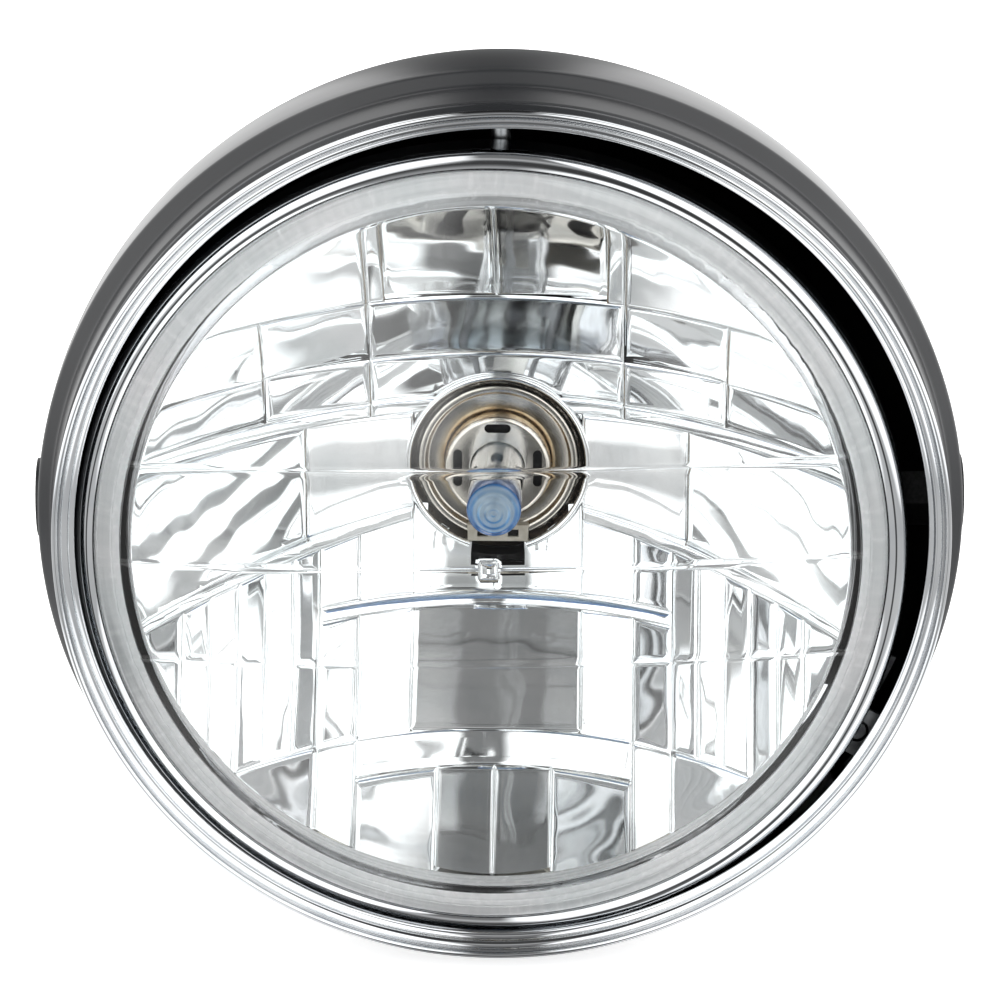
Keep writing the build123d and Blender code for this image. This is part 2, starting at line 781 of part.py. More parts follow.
# Reflector: a bowl with a flange in front and a neck behind, its inside cut as many facets.
neck_front = reflector_front - bowl_edge - (bowl_r**2 - hole_r**2) / (4 * focal)
bowl_apex = neck_front - hole_r**2 / (4 * focal)
seat_front_g = neck_front - seat_depth
neck_back = neck_front - neck_length
outer_apex = bowl_apex - reflector_wall
outer_join = outer_apex + wall_r**2 / (4 * focal)
neck_join = outer_apex + neck_r**2 / (4 * focal)


# Height of the plain bowl at a place in the unit's own plane.
def bowl(x, z):
    return bowl_apex + (x**2 + z**2) / (4 * focal)


pattern_fit = bowl_r / pattern_r


# Corners of a facet between two columns, fitted to the bowl; its top and foot may slope.
def cell(left, right, top, foot, top_right=None, foot_right=None):
    top_end = top if top_right is None else top_right
    foot_end = foot if foot_right is None else foot_right
    corners = [(left, foot), (right, foot_end), (right, top_end), (left, top)]
    return [(pattern_fit * x, pattern_fit * z) for x, z in corners]


# Height of the sloping shelf under the wings, at a distance from the middle.
def shelf(x):
    return shelf_inner - shelf_fall / shelf_run * (x - shelf_inner_x)


# The same, at the foot of the shelf's band.
def under(x):
    return shelf(x) - shelf_band


# Facets: corners, focal scale, sideways and upward shift of the focus, and step off the bowl.
edge_r = pattern_r + 12
centre_cells = [
    (cell(-col_b, col_b, row_b, row_c), 0.92, 0, -3, 0.0),
    (cell(-col_b, col_b, row_a, row_b), 1.08, 0, 4, 0.5),
    (cell(-col_a, col_a, edge_r, row_a), 1.0, 0, -3, -0.8),
    (cell(-col_b, col_b, row_c, row_d), 1.0, 0, -9, 0.6),
    (cell(-low_d, low_d, arch_top, row_e), 1.0, 0, 9, 0.7),
    (cell(-low_c, low_c, row_f, row_g), 1.1, 0, -8, -0.3),
]
side_cells = [
    (cell(0, shelf_inner_x, row_d, arch_top), 1.0, 6, 0, 0.0),
    (cell(col_b, col_c, row_b, row_c), 1.06, 3, 2, 0.3),
    (cell(col_c, edge_r, row_b, row_c), 0.96, -3, -2, -0.2),
    (cell(col_b, col_c, row_a, row_b), 0.95, -3, -2, -0.3),
    (cell(col_c, edge_r, row_a, row_b), 1.05, 3, 2, 0.3),
    (cell(col_a, col_b, edge_r, row_a), 1.0, 10, 0, 0.2),
    (cell(col_b, edge_r, edge_r, row_a), 1.02, -2, 3, 0.4),
    (cell(col_b, edge_r, row_c, row_d), 1.0, 0, -9, 0.6),
    (cell(shelf_inner_x, wing_col, row_d, shelf_inner, foot_right=shelf(wing_col)), 1.1, 5, 0, -0.4),
    (cell(wing_col, edge_r, row_d, shelf(wing_col), foot_right=shelf(edge_r)), 0.98, -6, 0, 0.2),
    (
        cell(shelf_inner_x, edge_r, shelf_inner, under(shelf_inner_x), shelf(edge_r), under(edge_r)),
        1.0,
        0,
        -12,
        0.7,
    ),
    (cell(shelf_inner_x, low_c, under(shelf_inner_x), arch_top, under(low_c)), 1.05, 4, 0, -0.2),
    (cell(low_c, low_d, under(low_c), arch_top, under(low_d)), 1.0, -6, 0, 0.3),
    (cell(low_b, low_c, row_e, row_f), 1.03, 5, -3, -0.5),
    (cell(low_c, low_d, row_e, row_f), 1.0, -6, 2, 0.9),
    (cell(low_a, low_c, row_g, -edge_r), 1.0, -4, 4, 0.3),
    (cell(low_c, low_d, row_f, -edge_r), 1.0, 5, 0, -0.2),
    (cell(low_d, edge_r, row_f, -edge_r), 1.0, -2, 3, 0.3),
]
for flute in range(flute_count):
    near = low_d + flute * flute_pitch
    far = edge_r if flute == flute_count - 1 else near + flute_pitch
    lean = 8 if flute % 2 else -8
    side_cells.append((cell(near, far, under(near), row_f, under(far)), 1.0, lean, 0, 0.0))
mirror_cells = []
for corners, scale, shift_x, shift_z, step in side_cells:
    flipped = [(-x, z) for x, z in reversed(corners)]
    mirror_cells.append((flipped, scale, -shift_x, shift_z, step))
facet_cells = centre_cells + side_cells + mirror_cells
# Facets that follow the bowl up and down and are flat from side to side: corners and step off the bowl.
flat_cells = [
    (cell(-low_b, low_b, row_e, row_f), 1.4),
    (cell(0, low_a, row_g, -edge_r), -0.9),
    (cell(-low_a, 0, row_g, -edge_r), -0.9),
]
space_r = 2 * bowl_r


# The middle of a facet's corners, each held inside the bowl's edge.
def middle_of(corners):
    held_x = [max(-0.9 * bowl_r, min(0.9 * bowl_r, x)) for x, z in corners]
    held_z = [max(-0.9 * bowl_r, min(0.9 * bowl_r, z)) for x, z in corners]
    return sum(held_x) / len(held_x), sum(held_z) / len(held_z)


# The straight-sided block of space over a facet's corners, inside the bowl's edge.
def cell_block(corners):
    with BuildPart() as block:
        with BuildSketch(unit_front(reflector_front)):
            with BuildLine():
                Polyline(*corners, close=True)
            make_face()
            Circle(bowl_r, mode=Mode.INTERSECT)
        extrude(amount=bowl_apex - reflector_front - reflector_wall)
    return block.part


facet_spaces = []
for corners, scale, shift_x, shift_z, step in facet_cells:
    middle_x, middle_z = middle_of(corners)
    facet_focal = focal * scale
    bend = ((middle_x - shift_x) ** 2 + (middle_z - shift_z) ** 2) / (4 * facet_focal)
    facet_apex = bowl(middle_x, middle_z) + step - bend
    facet_origin = unit_front(0).from_local_coords((shift_x, shift_z, 0))
    facet_section = Plane(origin=facet_origin, x_dir=unit_section.x_dir, z_dir=unit_section.z_dir)
    facet_top = facet_apex + space_r**2 / (4 * facet_focal)
    with BuildPart() as facet_space:
        with BuildSketch(facet_section):
            with BuildLine():
                Bezier((0, facet_apex), (space_r / 2, facet_apex), (space_r, facet_top))
                Line((space_r, facet_top), (0, facet_top))
                Line((0, facet_top), (0, facet_apex))
            make_face()
        revolve(axis=Axis(facet_origin, unit_forward))
        add(cell_block(corners), mode=Mode.INTERSECT)
    facet_spaces.append(facet_space.part)
upright_section = Plane(origin=unit_origin, x_dir=(0, 0, 1), z_dir=unit_right)
for corners, step in flat_cells:
    middle_x, middle_z = middle_of(corners)
    flat_apex = bowl(middle_x, 0) + step
    rise = space_r**2 / (4 * focal)
    with BuildPart() as flat_space:
        with BuildSketch(upright_section):
            with BuildLine():
                Bezier((-space_r, flat_apex + rise), (0, flat_apex - rise), (space_r, flat_apex + rise))
                Line((space_r, flat_apex + rise), (-space_r, flat_apex + rise))
            make_face()
        extrude(amount=space_r, both=True)
        add(cell_block(corners), mode=Mode.INTERSECT)
    facet_spaces.append(flat_space.part)
with BuildPart() as reflector:
    with BuildSketch(unit_section):
        with BuildLine():
            Line((0, reflector_front), (flange_r, reflector_front))
            Line((flange_r, reflector_front), (flange_r, mount_front))
            Line((flange_r, mount_front), (wall_r, mount_front))
            Line((wall_r, mount_front), (wall_r, outer_join))
            Bezier(
                (wall_r, outer_join),
                ((wall_r + neck_r) / 2, outer_apex + wall_r * neck_r / (4 * focal)),
                (neck_r, neck_join),
            )
            Line((neck_r, neck_join), (neck_r, neck_back))
            Line((neck_r, neck_back), (0, neck_back))
            Line((0, neck_back), (0, reflector_front))
        make_face()
    revolve(axis=unit_axis)
    for facet_part in facet_spaces:
        add(facet_part, mode=Mode.SUBTRACT)
    with BuildSketch(unit_front(reflector_front)):
        Circle(hole_r)
        with Locations((0, -notch_drop / 2)):
            Rectangle(2 * notch_half, notch_drop)
    extrude(amount=neck_back - reflector_front, mode=Mode.SUBTRACT)
    with BuildSketch(unit_front(seat_front_g)):
        Circle(neck_bore_r)
    extrude(amount=neck_back - seat_front_g, mode=Mode.SUBTRACT)
reflector.part.label = "reflector"
export_step(reflector.part, "parts/reflector.step")

# Bulb: a flange plate on the reflector's seat, with a raised collar, a slotted cap and a locating lug.
plate_back = seat_front_g - flange_plate
cap_front = seat_front_g + cap_height
tip_front = seat_front_g + bulb_tip
base_back = plate_back - base_length
blade_back = base_back - blade_length
with BuildPart() as bulb_flange:
    with BuildSketch(unit_front(plate_back)):
        Circle(flange_plate_r)
    extrude(amount=flange_plate)
    with BuildSketch(unit_front(seat_front_g)):
        Circle(collar_rim_r)
        Circle(collar_rim_in, mode=Mode.SUBTRACT)
    extrude(amount=collar_rim)
    with BuildSketch(unit_front(seat_front_g)):
        Circle(cap_r)
    extrude(amount=cap_height)
    with BuildSketch(unit_front(seat_front_g)):
        Circle(cap_r - cap_wall)
    extrude(amount=cap_height - cap_wall, mode=Mode.SUBTRACT)
    with BuildSketch(unit_front(seat_front_g)):
        with Locations((0, lug_top - lug_height / 2)):
            Rectangle(2 * lug_half, lug_height)
    extrude(amount=lug_proud)
    with BuildSketch(unit_front(seat_front_g + lug_proud)):
        with Locations((-lug_half / 2, lug_top - lug_height / 2), (lug_half / 2, lug_top - lug_height / 2)):
            Rectangle(0.36 * lug_half, 0.45 * lug_height)
    extrude(amount=-0.6 * lug_proud, mode=Mode.SUBTRACT)
    slot_mid = (cap_r + bulb_r) / 2
    with BuildSketch(unit_front(cap_front)):
        Circle(bulb_r)
        with Locations((-slot_mid, 0), (slot_mid, 0)):
            SlotOverall(0.72 * cap_r, 0.17 * cap_r, rotation=90)
        with Locations((0, slot_mid + 0.03 * cap_r)):
            SlotOverall(0.5 * cap_r, 0.17 * cap_r)
    extrude(amount=-cap_wall, mode=Mode.SUBTRACT)
bulb_flange.part.label = "bulb_flange"
export_step(bulb_flange.part, "parts/bulb_flange.step")

# Glass of the bulb: a thin tube with a rounded tip, standing in the cap.
tip_length = 0.6 * bulb_r
glass_tip = dome_curve(tip_front - tip_length, bulb_r, tip_length, pi / 2)
hollow_tip = dome_curve(tip_front - tip_length, bulb_r - bulb_wall, tip_length - bulb_wall, pi / 2)
with BuildPart() as bulb_glass:
    with BuildSketch(unit_section):
        with BuildLine():
            Line((bulb_r, seat_front_g), glass_tip[0])
            Bezier(*glass_tip[:3], (0, tip_front))
            Line((0, tip_front), (0, tip_front - bulb_wall))
            Bezier(*hollow_tip[:3], (0, tip_front - bulb_wall))
            Line(hollow_tip[0], (bulb_r - bulb_wall, seat_front_g))
            Line((bulb_r - bulb_wall, seat_front_g), (bulb_r, seat_front_g))
        make_face()
    revolve(axis=unit_axis)
bulb_glass.part.label = "bulb_glass"
export_step(bulb_glass.part, "parts/bulb_glass.step")

# Half-round shield under the dipped filament, on a strap from the flange.
shield_front = tip_front - 0.18 * bulb_tip
shield_back = shield_front - shield_length
with BuildPart() as bulb_shield:
    with BuildSketch(unit_front(shield_front)):
        Circle(shield_r)
        Circle(shield_r - shield_wall, mode=Mode.SUBTRACT)
        with Locations((0, -shield_r)):
            Rectangle(2 * shield_r, 2 * shield_r, mode=Mode.INTERSECT)
    extrude(amount=-shield_length)
    with BuildSketch(unit_front(shield_front)):
        with Locations((0, shield_wall / 2 - shield_r)):
            Rectangle(0.5 * shield_r, shield_wall)
    extrude(amount=seat_front_g - shield_front)
bulb_shield.part.label = "bulb_shield"
export_step(bulb_shield.part, "parts/bulb_shield.step")

# Two filaments in line on their support wires.
dip_front = shield_front - 0.2 * shield_length
main_front = dip_front - filament_length - 1.5
with BuildPart() as bulb_filaments:
    for coil_front in (dip_front, main_front):
        with BuildSketch(unit_front(coil_front)):
            Circle(filament_r)
        extrude(amount=-filament_length)
        for wire_front in (coil_front, coil_front - filament_length + 2 * post_r):
            side = 1 if wire_front == coil_front else -1
            with BuildSketch(unit_front(wire_front)):
                with Locations((side * post_x / 2, 0)):
                    Rectangle(post_x, 2 * post_r)
            extrude(amount=-2 * post_r)
    with BuildSketch(unit_front(seat_front_g)):
        with Locations((-post_x, 0), (post_x, 0)):
            Circle(post_r)
    extrude(amount=dip_front - seat_front_g)
bulb_filaments.part.label = "bulb_filaments"
export_step(bulb_filaments.part, "parts/bulb_filaments.step")

# Base of the bulb and its three contact blades.
with BuildPart() as bulb_base:
    with BuildSketch(unit_front(plate_back)):
        Circle(base_r)
    extrude(amount=-base_length)
bulb_base.part.label = "bulb_base"
export_step(bulb_base.part, "parts/bulb_base.step")
with BuildPart() as bulb_blades:
    with BuildSketch(unit_front(base_back)):
        with Locations((-blade_offset, -blade_offset / 3), (blade_offset, -blade_offset / 3)):
            Rectangle(blade_thick, blade_width)
        with Locations((0, blade_offset)):
            Rectangle(blade_width, blade_thick)
    extrude(amount=-blade_length)
bulb_blades.part.label = "bulb_blades"
export_step(bulb_blades.part, "parts/bulb_blades.step")

# Spring-wire clip across the back of the flange, its feet hooked inside the neck.
clip_g = plate_back - clip_wire_r
clip_foot = sqrt((neck_bore_r - 1.2 * clip_wire_r) ** 2 - clip_arm_x**2)
with BuildPart() as bulb_clip:
    with BuildLine(unit_front(clip_g)) as clip_path:
        left_arm = Line((-clip_arm_x, -clip_foot), (-clip_arm_x, 0.6 * clip_foot))
        right_arm = Line((clip_arm_x, 0.6 * clip_foot), (clip_arm_x, -clip_foot))
        ThreePointArc(left_arm @ 1, (0, 0.6 * clip_foot + 0.45 * clip_arm_x), right_arm @ 0)
    with BuildSketch(Plane(origin=clip_path.line @ 0, z_dir=clip_path.line % 0)):
        Circle(clip_wire_r)
    sweep(path=clip_path.line, transition=Transition.ROUND)
bulb_clip.part.label = "bulb_clip"
export_step(bulb_clip.part, "parts/bulb_clip.step")

# Rubber boot over the neck and the bulb's base.
boot_front = neck_back + boot_grip
boot_back = boot_front - boot_length
with BuildPart() as dust_boot:
    with BuildSketch(unit_section):
        with BuildLine():
            Polyline(
                (neck_r, boot_front),
                (neck_r, neck_back),
                (base_r, boot_back + boot_wall),
                (base_r, boot_back),
                (base_r + boot_wall, boot_back),
                (base_r + boot_wall, boot_back + 0.6 * boot_wall),
                (neck_r + boot_wall, neck_back - 0.4 * boot_wall),
                (neck_r + boot_wall, boot_front),
                close=True,
            )
        make_face()
    revolve(axis=unit_axis)
dust_boot.part.label = "dust_boot"
export_step(dust_boot.part, "parts/dust_boot.step")
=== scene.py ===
# %% [markdown]
# # A round motorcycle headlight
# The solids of this lamp are already made: a black bucket, a chrome rim, and a lens unit that turns
# in the rim for aim. This lesson dresses them. Mirrors show every flat triangle, so the polished
# pieces are turned again here on a much finer mesh, from the same sizes as the solids.

# %% Load the solids
import json
import math

import bmesh
import bpy
from mathutils import Matrix, Vector


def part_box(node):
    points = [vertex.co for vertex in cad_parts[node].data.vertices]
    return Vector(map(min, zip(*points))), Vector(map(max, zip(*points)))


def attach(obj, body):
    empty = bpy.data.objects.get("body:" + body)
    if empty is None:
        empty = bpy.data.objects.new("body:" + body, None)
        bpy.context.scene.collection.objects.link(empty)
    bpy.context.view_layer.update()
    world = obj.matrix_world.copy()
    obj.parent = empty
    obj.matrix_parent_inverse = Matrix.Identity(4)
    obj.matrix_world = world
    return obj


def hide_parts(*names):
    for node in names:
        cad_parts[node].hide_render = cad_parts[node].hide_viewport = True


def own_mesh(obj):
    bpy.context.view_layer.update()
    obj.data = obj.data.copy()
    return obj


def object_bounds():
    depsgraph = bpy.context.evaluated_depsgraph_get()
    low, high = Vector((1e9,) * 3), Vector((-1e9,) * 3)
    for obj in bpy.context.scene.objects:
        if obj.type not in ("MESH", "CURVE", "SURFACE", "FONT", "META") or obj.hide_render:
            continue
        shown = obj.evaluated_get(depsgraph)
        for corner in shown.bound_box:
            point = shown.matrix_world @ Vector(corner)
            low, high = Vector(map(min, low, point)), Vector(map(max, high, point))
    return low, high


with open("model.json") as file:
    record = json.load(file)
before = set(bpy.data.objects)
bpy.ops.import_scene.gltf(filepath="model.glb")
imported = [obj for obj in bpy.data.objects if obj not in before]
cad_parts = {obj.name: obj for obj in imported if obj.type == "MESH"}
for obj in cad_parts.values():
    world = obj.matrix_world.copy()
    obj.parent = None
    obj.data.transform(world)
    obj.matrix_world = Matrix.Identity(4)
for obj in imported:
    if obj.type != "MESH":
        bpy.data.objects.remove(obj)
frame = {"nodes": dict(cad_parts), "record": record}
cad_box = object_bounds()
nodes = frame["nodes"]
MM = 0.001
print("solids:", len(nodes), "box:", [[round(v, 4) for v in corner] for corner in cad_box])

# %% [markdown]
# ## Two frames
# The bucket and rim share the lamp's own axis. The lens unit sits a little low and to the left in the
# rim, and is aimed 2.4 degrees to the left, so it has a frame of its own. Both frames give a point as
# right, ahead and up, in millimetres.

# %% Places in the lamp and in the lens unit
LIP_Y = -61.85
TURN = math.radians(-2.4)
UNIT_AHEAD = Vector((math.sin(TURN), -math.cos(TURN), 0))
UNIT_RIGHT = Vector((math.cos(TURN), math.sin(TURN), 0))
UNIT_HOME = Vector((-2.6, LIP_Y + 4.2, -4.0))
UP = Vector((0, 0, 1))


def in_lamp(right, ahead, up):
    return Vector((right, LIP_Y - ahead, up)) * MM


def in_unit(right, ahead, up):
    return (UNIT_HOME + UNIT_RIGHT * right + UNIT_AHEAD * ahead + UP * up) * MM


print("lens unit home:", tuple(round(v, 2) for v in UNIT_HOME))

# %% [markdown]
# ## Camera
# The photograph looks down on the lamp by about nineteen degrees from about a metre away. The long
# focal length keeps the rim nearly round. A long lens with no shift is the plain way to set this.

# %% Make the camera


def put(name, data):
    thing = bpy.data.objects.new(name, data)
    bpy.context.scene.collection.objects.link(thing)
    return thing


EYE_TILT = math.radians(19.42)
EYE_SIDE = math.radians(-0.80)
EYE_FAR = 999.0
PHOTO_SIDE, FOCAL_PIXELS, SENSOR = 1001, 4500, 36.0
AIM_RIGHT, AIM_UP = -0.32, 10.2
aim = in_lamp(AIM_RIGHT, 0, AIM_UP)
toward_eye = Vector(
    (math.sin(EYE_SIDE) * math.cos(EYE_TILT), -math.cos(EYE_SIDE) * math.cos(EYE_TILT), math.sin(EYE_TILT))
)
camera_data = bpy.data.cameras.new("photo_camera")
camera_data.sensor_width = SENSOR
camera_data.lens = FOCAL_PIXELS / PHOTO_SIDE * SENSOR
camera = put("photo_camera", camera_data)
camera.location = aim + toward_eye * EYE_FAR * MM
camera.rotation_euler = (-toward_eye).to_track_quat("-Z", "Y").to_euler()
bpy.context.scene.camera = camera
print("camera lens:", round(camera_data.lens, 1), "mm")

# %% [markdown]
# ## Node helpers
# Colours are picked as sRGB hex values, the way a screen shows them, but shaders work in linear light.
# One function makes that change. One more adds a node to any tree, sets its options and sockets and
# links it to what feeds it. The finishes, the studio and the Geometry Nodes all use these two.

# %% Colour and node helpers


def linear(code):
    parts = [int(code[i : i + 2], 16) / 255 for i in (1, 3, 5)]
    return tuple(c / 12.92 if c <= 0.04045 else ((c + 0.055) / 1.055) ** 2.4 for c in parts) + (1.0,)


def add(tree, kind, feeds={}, values={}, stops=(), **options):
    node = tree.nodes.new(kind)
    for name, value in options.items():
        setattr(node, name, value)
    for socket, value in values.items():
        node.inputs[socket].default_value = value
    for socket, sources in feeds.items():
        for source in sources if isinstance(sources, list) else [sources]:
            feed = source.outputs[0] if isinstance(source, bpy.types.Node) else source
            tree.links.new(feed, node.inputs[socket])
    if stops:
        ramp = node.color_ramp.elements
        for end in (0, -1):
            ramp[end].position, ramp[end].color = stops[end][0], linear(stops[end][1])
        for position, code in stops[1:-1]:
            ramp.new(position).color = linear(code)
    return node


def new_material(name):
    material = bpy.data.materials.new(name)
    material.use_nodes = True
    material.node_tree.nodes.clear()
    place = add(material.node_tree, "ShaderNodeTexCoord").outputs["Object"]
    return material, material.node_tree, place


def per_mm(size):
    return 1 / (size * MM)


# %% [markdown]
# ## Finishes
# Each finish is named for what it really is and how its surface was made. Patterns run on Object
# coordinates, and their scale comes from a size in millimetres. A noise drives both the colour and the
# roughness, because a real surface is dull where it is stained and bright where it is clean. One function
# makes such a finish from the size and detail of its noise, its dark and light tint, its range of
# roughness, what else its skin has, and a bump where the surface has a grain. Two finishes need more.

# %% A finish that a noise clouds
DARK_AT, LIGHT_AT = 0.35, 0.65
METAL = {"Metallic": 1.0}


def cloudy(name, size, detail, dark, light, rough=None, has={}, bump=None):
    material, tree, place = new_material(name)
    cloud = add(tree, "ShaderNodeTexNoise", {"Vector": place}, {"Scale": per_mm(size), "Detail": detail})
    tint = add(tree, "ShaderNodeValToRGB", {"Fac": cloud}, stops=((DARK_AT, dark), (LIGHT_AT, light)))
    feeds = {"Base Color": tint}
    if rough:
        spread = {"To Min": rough[0], "To Max": rough[1]}
        feeds["Roughness"] = add(tree, "ShaderNodeMapRange", {"Value": cloud}, spread)
    if bump:
        fine = {"Scale": per_mm(bump["size"]), "Detail": bump["detail"]}
        grain = add(tree, "ShaderNodeTexNoise", {"Vector": place}, fine)
        relief = {"Strength": bump["strength"], "Distance": bump["deep"] * MM}
        feeds["Normal"] = add(tree, "ShaderNodeBump", {"Height": grain}, relief)
    skin = add(tree, "ShaderNodeBsdfPrincipled", feeds, has)
    add(tree, "ShaderNodeOutputMaterial", {"Surface": skin})
    return material


# %% Polished chrome plate
# Decorative chrome over bright nickel: nearly a mirror, faintly cool, with slow changes in polish.
chrome = cloudy("chrome_plated_steel", 18, 3.0, "#C8CBCE", "#D6D8DA", (0.02, 0.05), METAL)

# %% Satin black moulding
# Injection-moulded ABS, satin black: dark grey where light grazes it, with a fine moulded grain.
moulded_grain = {"size": 0.6, "detail": 2.0, "strength": 0.08, "deep": 0.1}
satin = cloudy("satin_black_abs", 30, 2.0, "#1E1F21", "#262729", (0.26, 0.32), bump=moulded_grain)

# %% Clear pressed glass
# Soda-lime glass pressed in a mould: clear and smooth, with the faintest drift in its colour.
clear = {"Transmission Weight": 1.0, "IOR": 1.52, "Roughness": 0.0}
glass = cloudy("clear_pressed_glass", 25, 1.0, "#FBFDFD", "#FFFFFF", has=clear)

# %% Vacuum-coated aluminium
# Aluminium evaporated on lacquer: the brightest mirror on the lamp. The lacquer flowed a little before
# it set, so a slow bump bends what it mirrors.
flow = {"size": 16, "detail": 0.6, "strength": 1.0, "deep": 0.2}
coated = ("vacuum_coated_aluminium", 12, 3.0, "#EFF1F2", "#FAFBFB")
silvering = cloudy(*coated, (0.02, 0.05), METAL, flow)

# %% Bare moulding
# The reflector's outer wall and flange were masked from the coating: pale grey moulded plastic, half dull.
bare = cloudy("bare_grey_moulding", 1.5, 4.0, "#EDEFF0", "#F6F7F8", (0.2, 0.32))

# %% Bright zinc plate
# Bright zinc on the pressed brackets and screws: grey, a little blotchy, half dull.
zinc = cloudy("bright_zinc_plate", 2.5, 4.0, "#8E9193", "#B4B7B8", (0.25, 0.42), METAL)

# %% Nickel-plated sheet
# Nickel on the bulb's pressed base: warmer and smoother than zinc, browned where it was brazed, with painted
# shade in the groove round it. The tint follows the distance from the unit's axis, made ragged by a noise.
nickel, tree, place = new_material("nickel_plated_sheet")
BASE_SPAN, RAGGED = 24, 1.4
stain_and_shade_noise = add(tree, "ShaderNodeTexNoise", {"Vector": place}, {"Scale": per_mm(3.5), "Detail": 4.0})
from_home = add(tree, "ShaderNodeVectorMath", {0: place}, {1: UNIT_HOME * MM}, operation="SUBTRACT")
turned = add(tree, "ShaderNodeVectorMath", {0: from_home}, {1: UNIT_AHEAD}, operation="CROSS_PRODUCT")
out_from_axis = add(tree, "ShaderNodeVectorMath", {0: turned}, operation="LENGTH").outputs["Value"]
ragged = add(tree, "ShaderNodeMath", {0: stain_and_shade_noise, 2: out_from_axis}, {1: RAGGED * MM}, operation="MULTIPLY_ADD")
share = add(tree, "ShaderNodeMath", {0: ragged}, {1: per_mm(BASE_SPAN)}, operation="MULTIPLY")
# The stops from 20.2 mm out, dark brown to near black, are painted shade in the groove round the lip; the
# brown at 13.4 mm is the brazing stain.
browned_and_groove_shade = (
    (0.0, "#E9E7E3"), (12.8, "#E4DFD5"), (13.4, "#8E7350"), (14.4, "#B3A58C"),
    (15.8, "#CFCBC2"), (19.3, "#D8D4CB"), (20.2, "#2B251E"), (BASE_SPAN, "#15120F"),
)
rings = [(out / BASE_SPAN, code) for out, code in browned_and_groove_shade]
tint = add(tree, "ShaderNodeValToRGB", {"Fac": share}, stops=rings)
smooth = add(tree, "ShaderNodeMapRange", {"Value": stain_and_shade_noise}, {"To Min": 0.1, "To Max": 0.2})
skin = add(tree, "ShaderNodeBsdfPrincipled", {"Base Color": tint, "Roughness": smooth}, METAL)
add(tree, "ShaderNodeOutputMaterial", {"Surface": skin})

# %% Tinned sheet
# The lug's bare tinned steel: warm grey, slightly dull, with soft blotches.
tinned = cloudy("tinned_steel_sheet", 2, 3.0, "#C2BCAE", "#D3CEC2", (0.38, 0.5), {"Metallic": 0.7})

# %% Rubber, dark steel and wire
# Moulded black rubber: matt, with a dusty variation.
rubber = cloudy("moulded_black_rubber", 4, 4.0, "#121213", "#1C1C1D", has={"Roughness": 0.62})

# Phosphated steel: nearly black, slightly crystalline.
dark = {"Metallic": 0.6, "Roughness": 0.48}
phosphate = cloudy("phosphated_steel", 0.8, 3.0, "#141415", "#242426", has=dark)

# Drawn wire: fine streaks, grey, half polished.
wire = cloudy("drawn_steel_wire", 1.2, 3.0, "#6F7072", "#8C8D8F", has={**METAL, "Roughness": 0.3})

# %% Quartz with a blue tip
# The bulb's glass is clear quartz; its end is dipped in a milky blue coat that fades out along the tube
# and looks deeper where it is seen at a slant.
quartz, tree, place = new_material("blue_tipped_quartz")
TIP_AHEAD, COAT_FADES, COAT_FULL = -27.0, 15, 3
tip_level = (UNIT_HOME.dot(UNIT_AHEAD) + TIP_AHEAD) * MM
ahead_of = add(tree, "ShaderNodeVectorMath", {0: place}, {1: UNIT_AHEAD}, operation="DOT_PRODUCT")
dipped = {"From Min": tip_level - COAT_FADES * MM, "From Max": tip_level - COAT_FULL * MM}
along = add(tree, "ShaderNodeMapRange", {"Value": ahead_of.outputs["Value"]}, dipped)
slant = add(tree, "ShaderNodeLayerWeight", {}, {"Blend": 0.5}).outputs["Facing"]
deeper = ((0.1, "#D2ECFF"), (0.35, "#74BCFF"), (0.7, "#2377DA"))
coat = add(tree, "ShaderNodeValToRGB", {"Fac": slant}, stops=deeper)
tint = add(tree, "ShaderNodeMix", {0: along, 7: coat}, {6: linear("#FDFEFF")}, data_type="RGBA")
passed = add(tree, "ShaderNodeMapRange", {"Value": along}, {"To Min": 1.0, "To Max": 0.55})
feeds = {"Base Color": tint.outputs[2], "Transmission Weight": passed}
skin = add(tree, "ShaderNodeBsdfPrincipled", feeds, {"IOR": 1.46, "Roughness": 0.02})
add(tree, "ShaderNodeOutputMaterial", {"Surface": skin})
print("finishes:", len(bpy.data.materials))

# %% [markdown]
# ## Turning a profile
# Most of the lamp was spun, pressed or turned, so most of it is a profile swept round an axis. A lathe
# function takes the profile as radius and distance ahead, rounds its corners, and sweeps it in the
# lamp's frame or the unit's. Many segments keep a mirror smooth. A profile that starts and ends on the
# axis is left open there, and merging its doubles closes each pole in one point.

# %% Profile and lathe helpers
BEND_LEAST, REACH_MOST, TOUCHING, FULL_TURN = math.radians(14), 0.42, 1e-6, 359.999


def arc_points(first, middle, last, count):
    ax, ay = first
    bx, by = middle
    cx, cy = last
    d = 2 * (ax * (by - cy) + bx * (cy - ay) + cx * (ay - by))
    ux = ((ax**2 + ay**2) * (by - cy) + (bx**2 + by**2) * (cy - ay) + (cx**2 + cy**2) * (ay - by)) / d
    uy = ((ax**2 + ay**2) * (cx - bx) + (bx**2 + by**2) * (ax - cx) + (cx**2 + cy**2) * (bx - ax)) / d
    radius = math.hypot(ax - ux, ay - uy)
    a, b, c = (math.atan2(y - uy, x - ux) for x, y in (first, middle, last))
    whole = 2 * math.pi
    span = (c - a) % whole
    if (b - a) % whole > span:
        span -= whole
    return [
        (ux + radius * math.cos(a + span * i / count), uy + radius * math.sin(a + span * i / count))
        for i in range(count + 1)
    ]


def soften(points, radius, steps=4, closed=True):
    out = []
    count = len(points)
    for i, here in enumerate(points):
        if not closed and i in (0, count - 1):
            out.append(here)
            continue
        before = Vector(points[i - 1]) - Vector(here)
        after = Vector(points[(i + 1) % count]) - Vector(here)
        if before.length < TOUCHING or after.length < TOUCHING or before.angle(-after) < BEND_LEAST:
            out.append(here)
            continue
        reach = min(radius, REACH_MOST * before.length, REACH_MOST * after.length)
        start = Vector(here) + before.normalized() * reach
        end = Vector(here) + after.normalized() * reach
        for k in range(steps + 1):
            t = k / steps
            out.append(tuple(start * (1 - t) ** 2 + Vector(here) * 2 * t * (1 - t) + end * t**2))
    return out


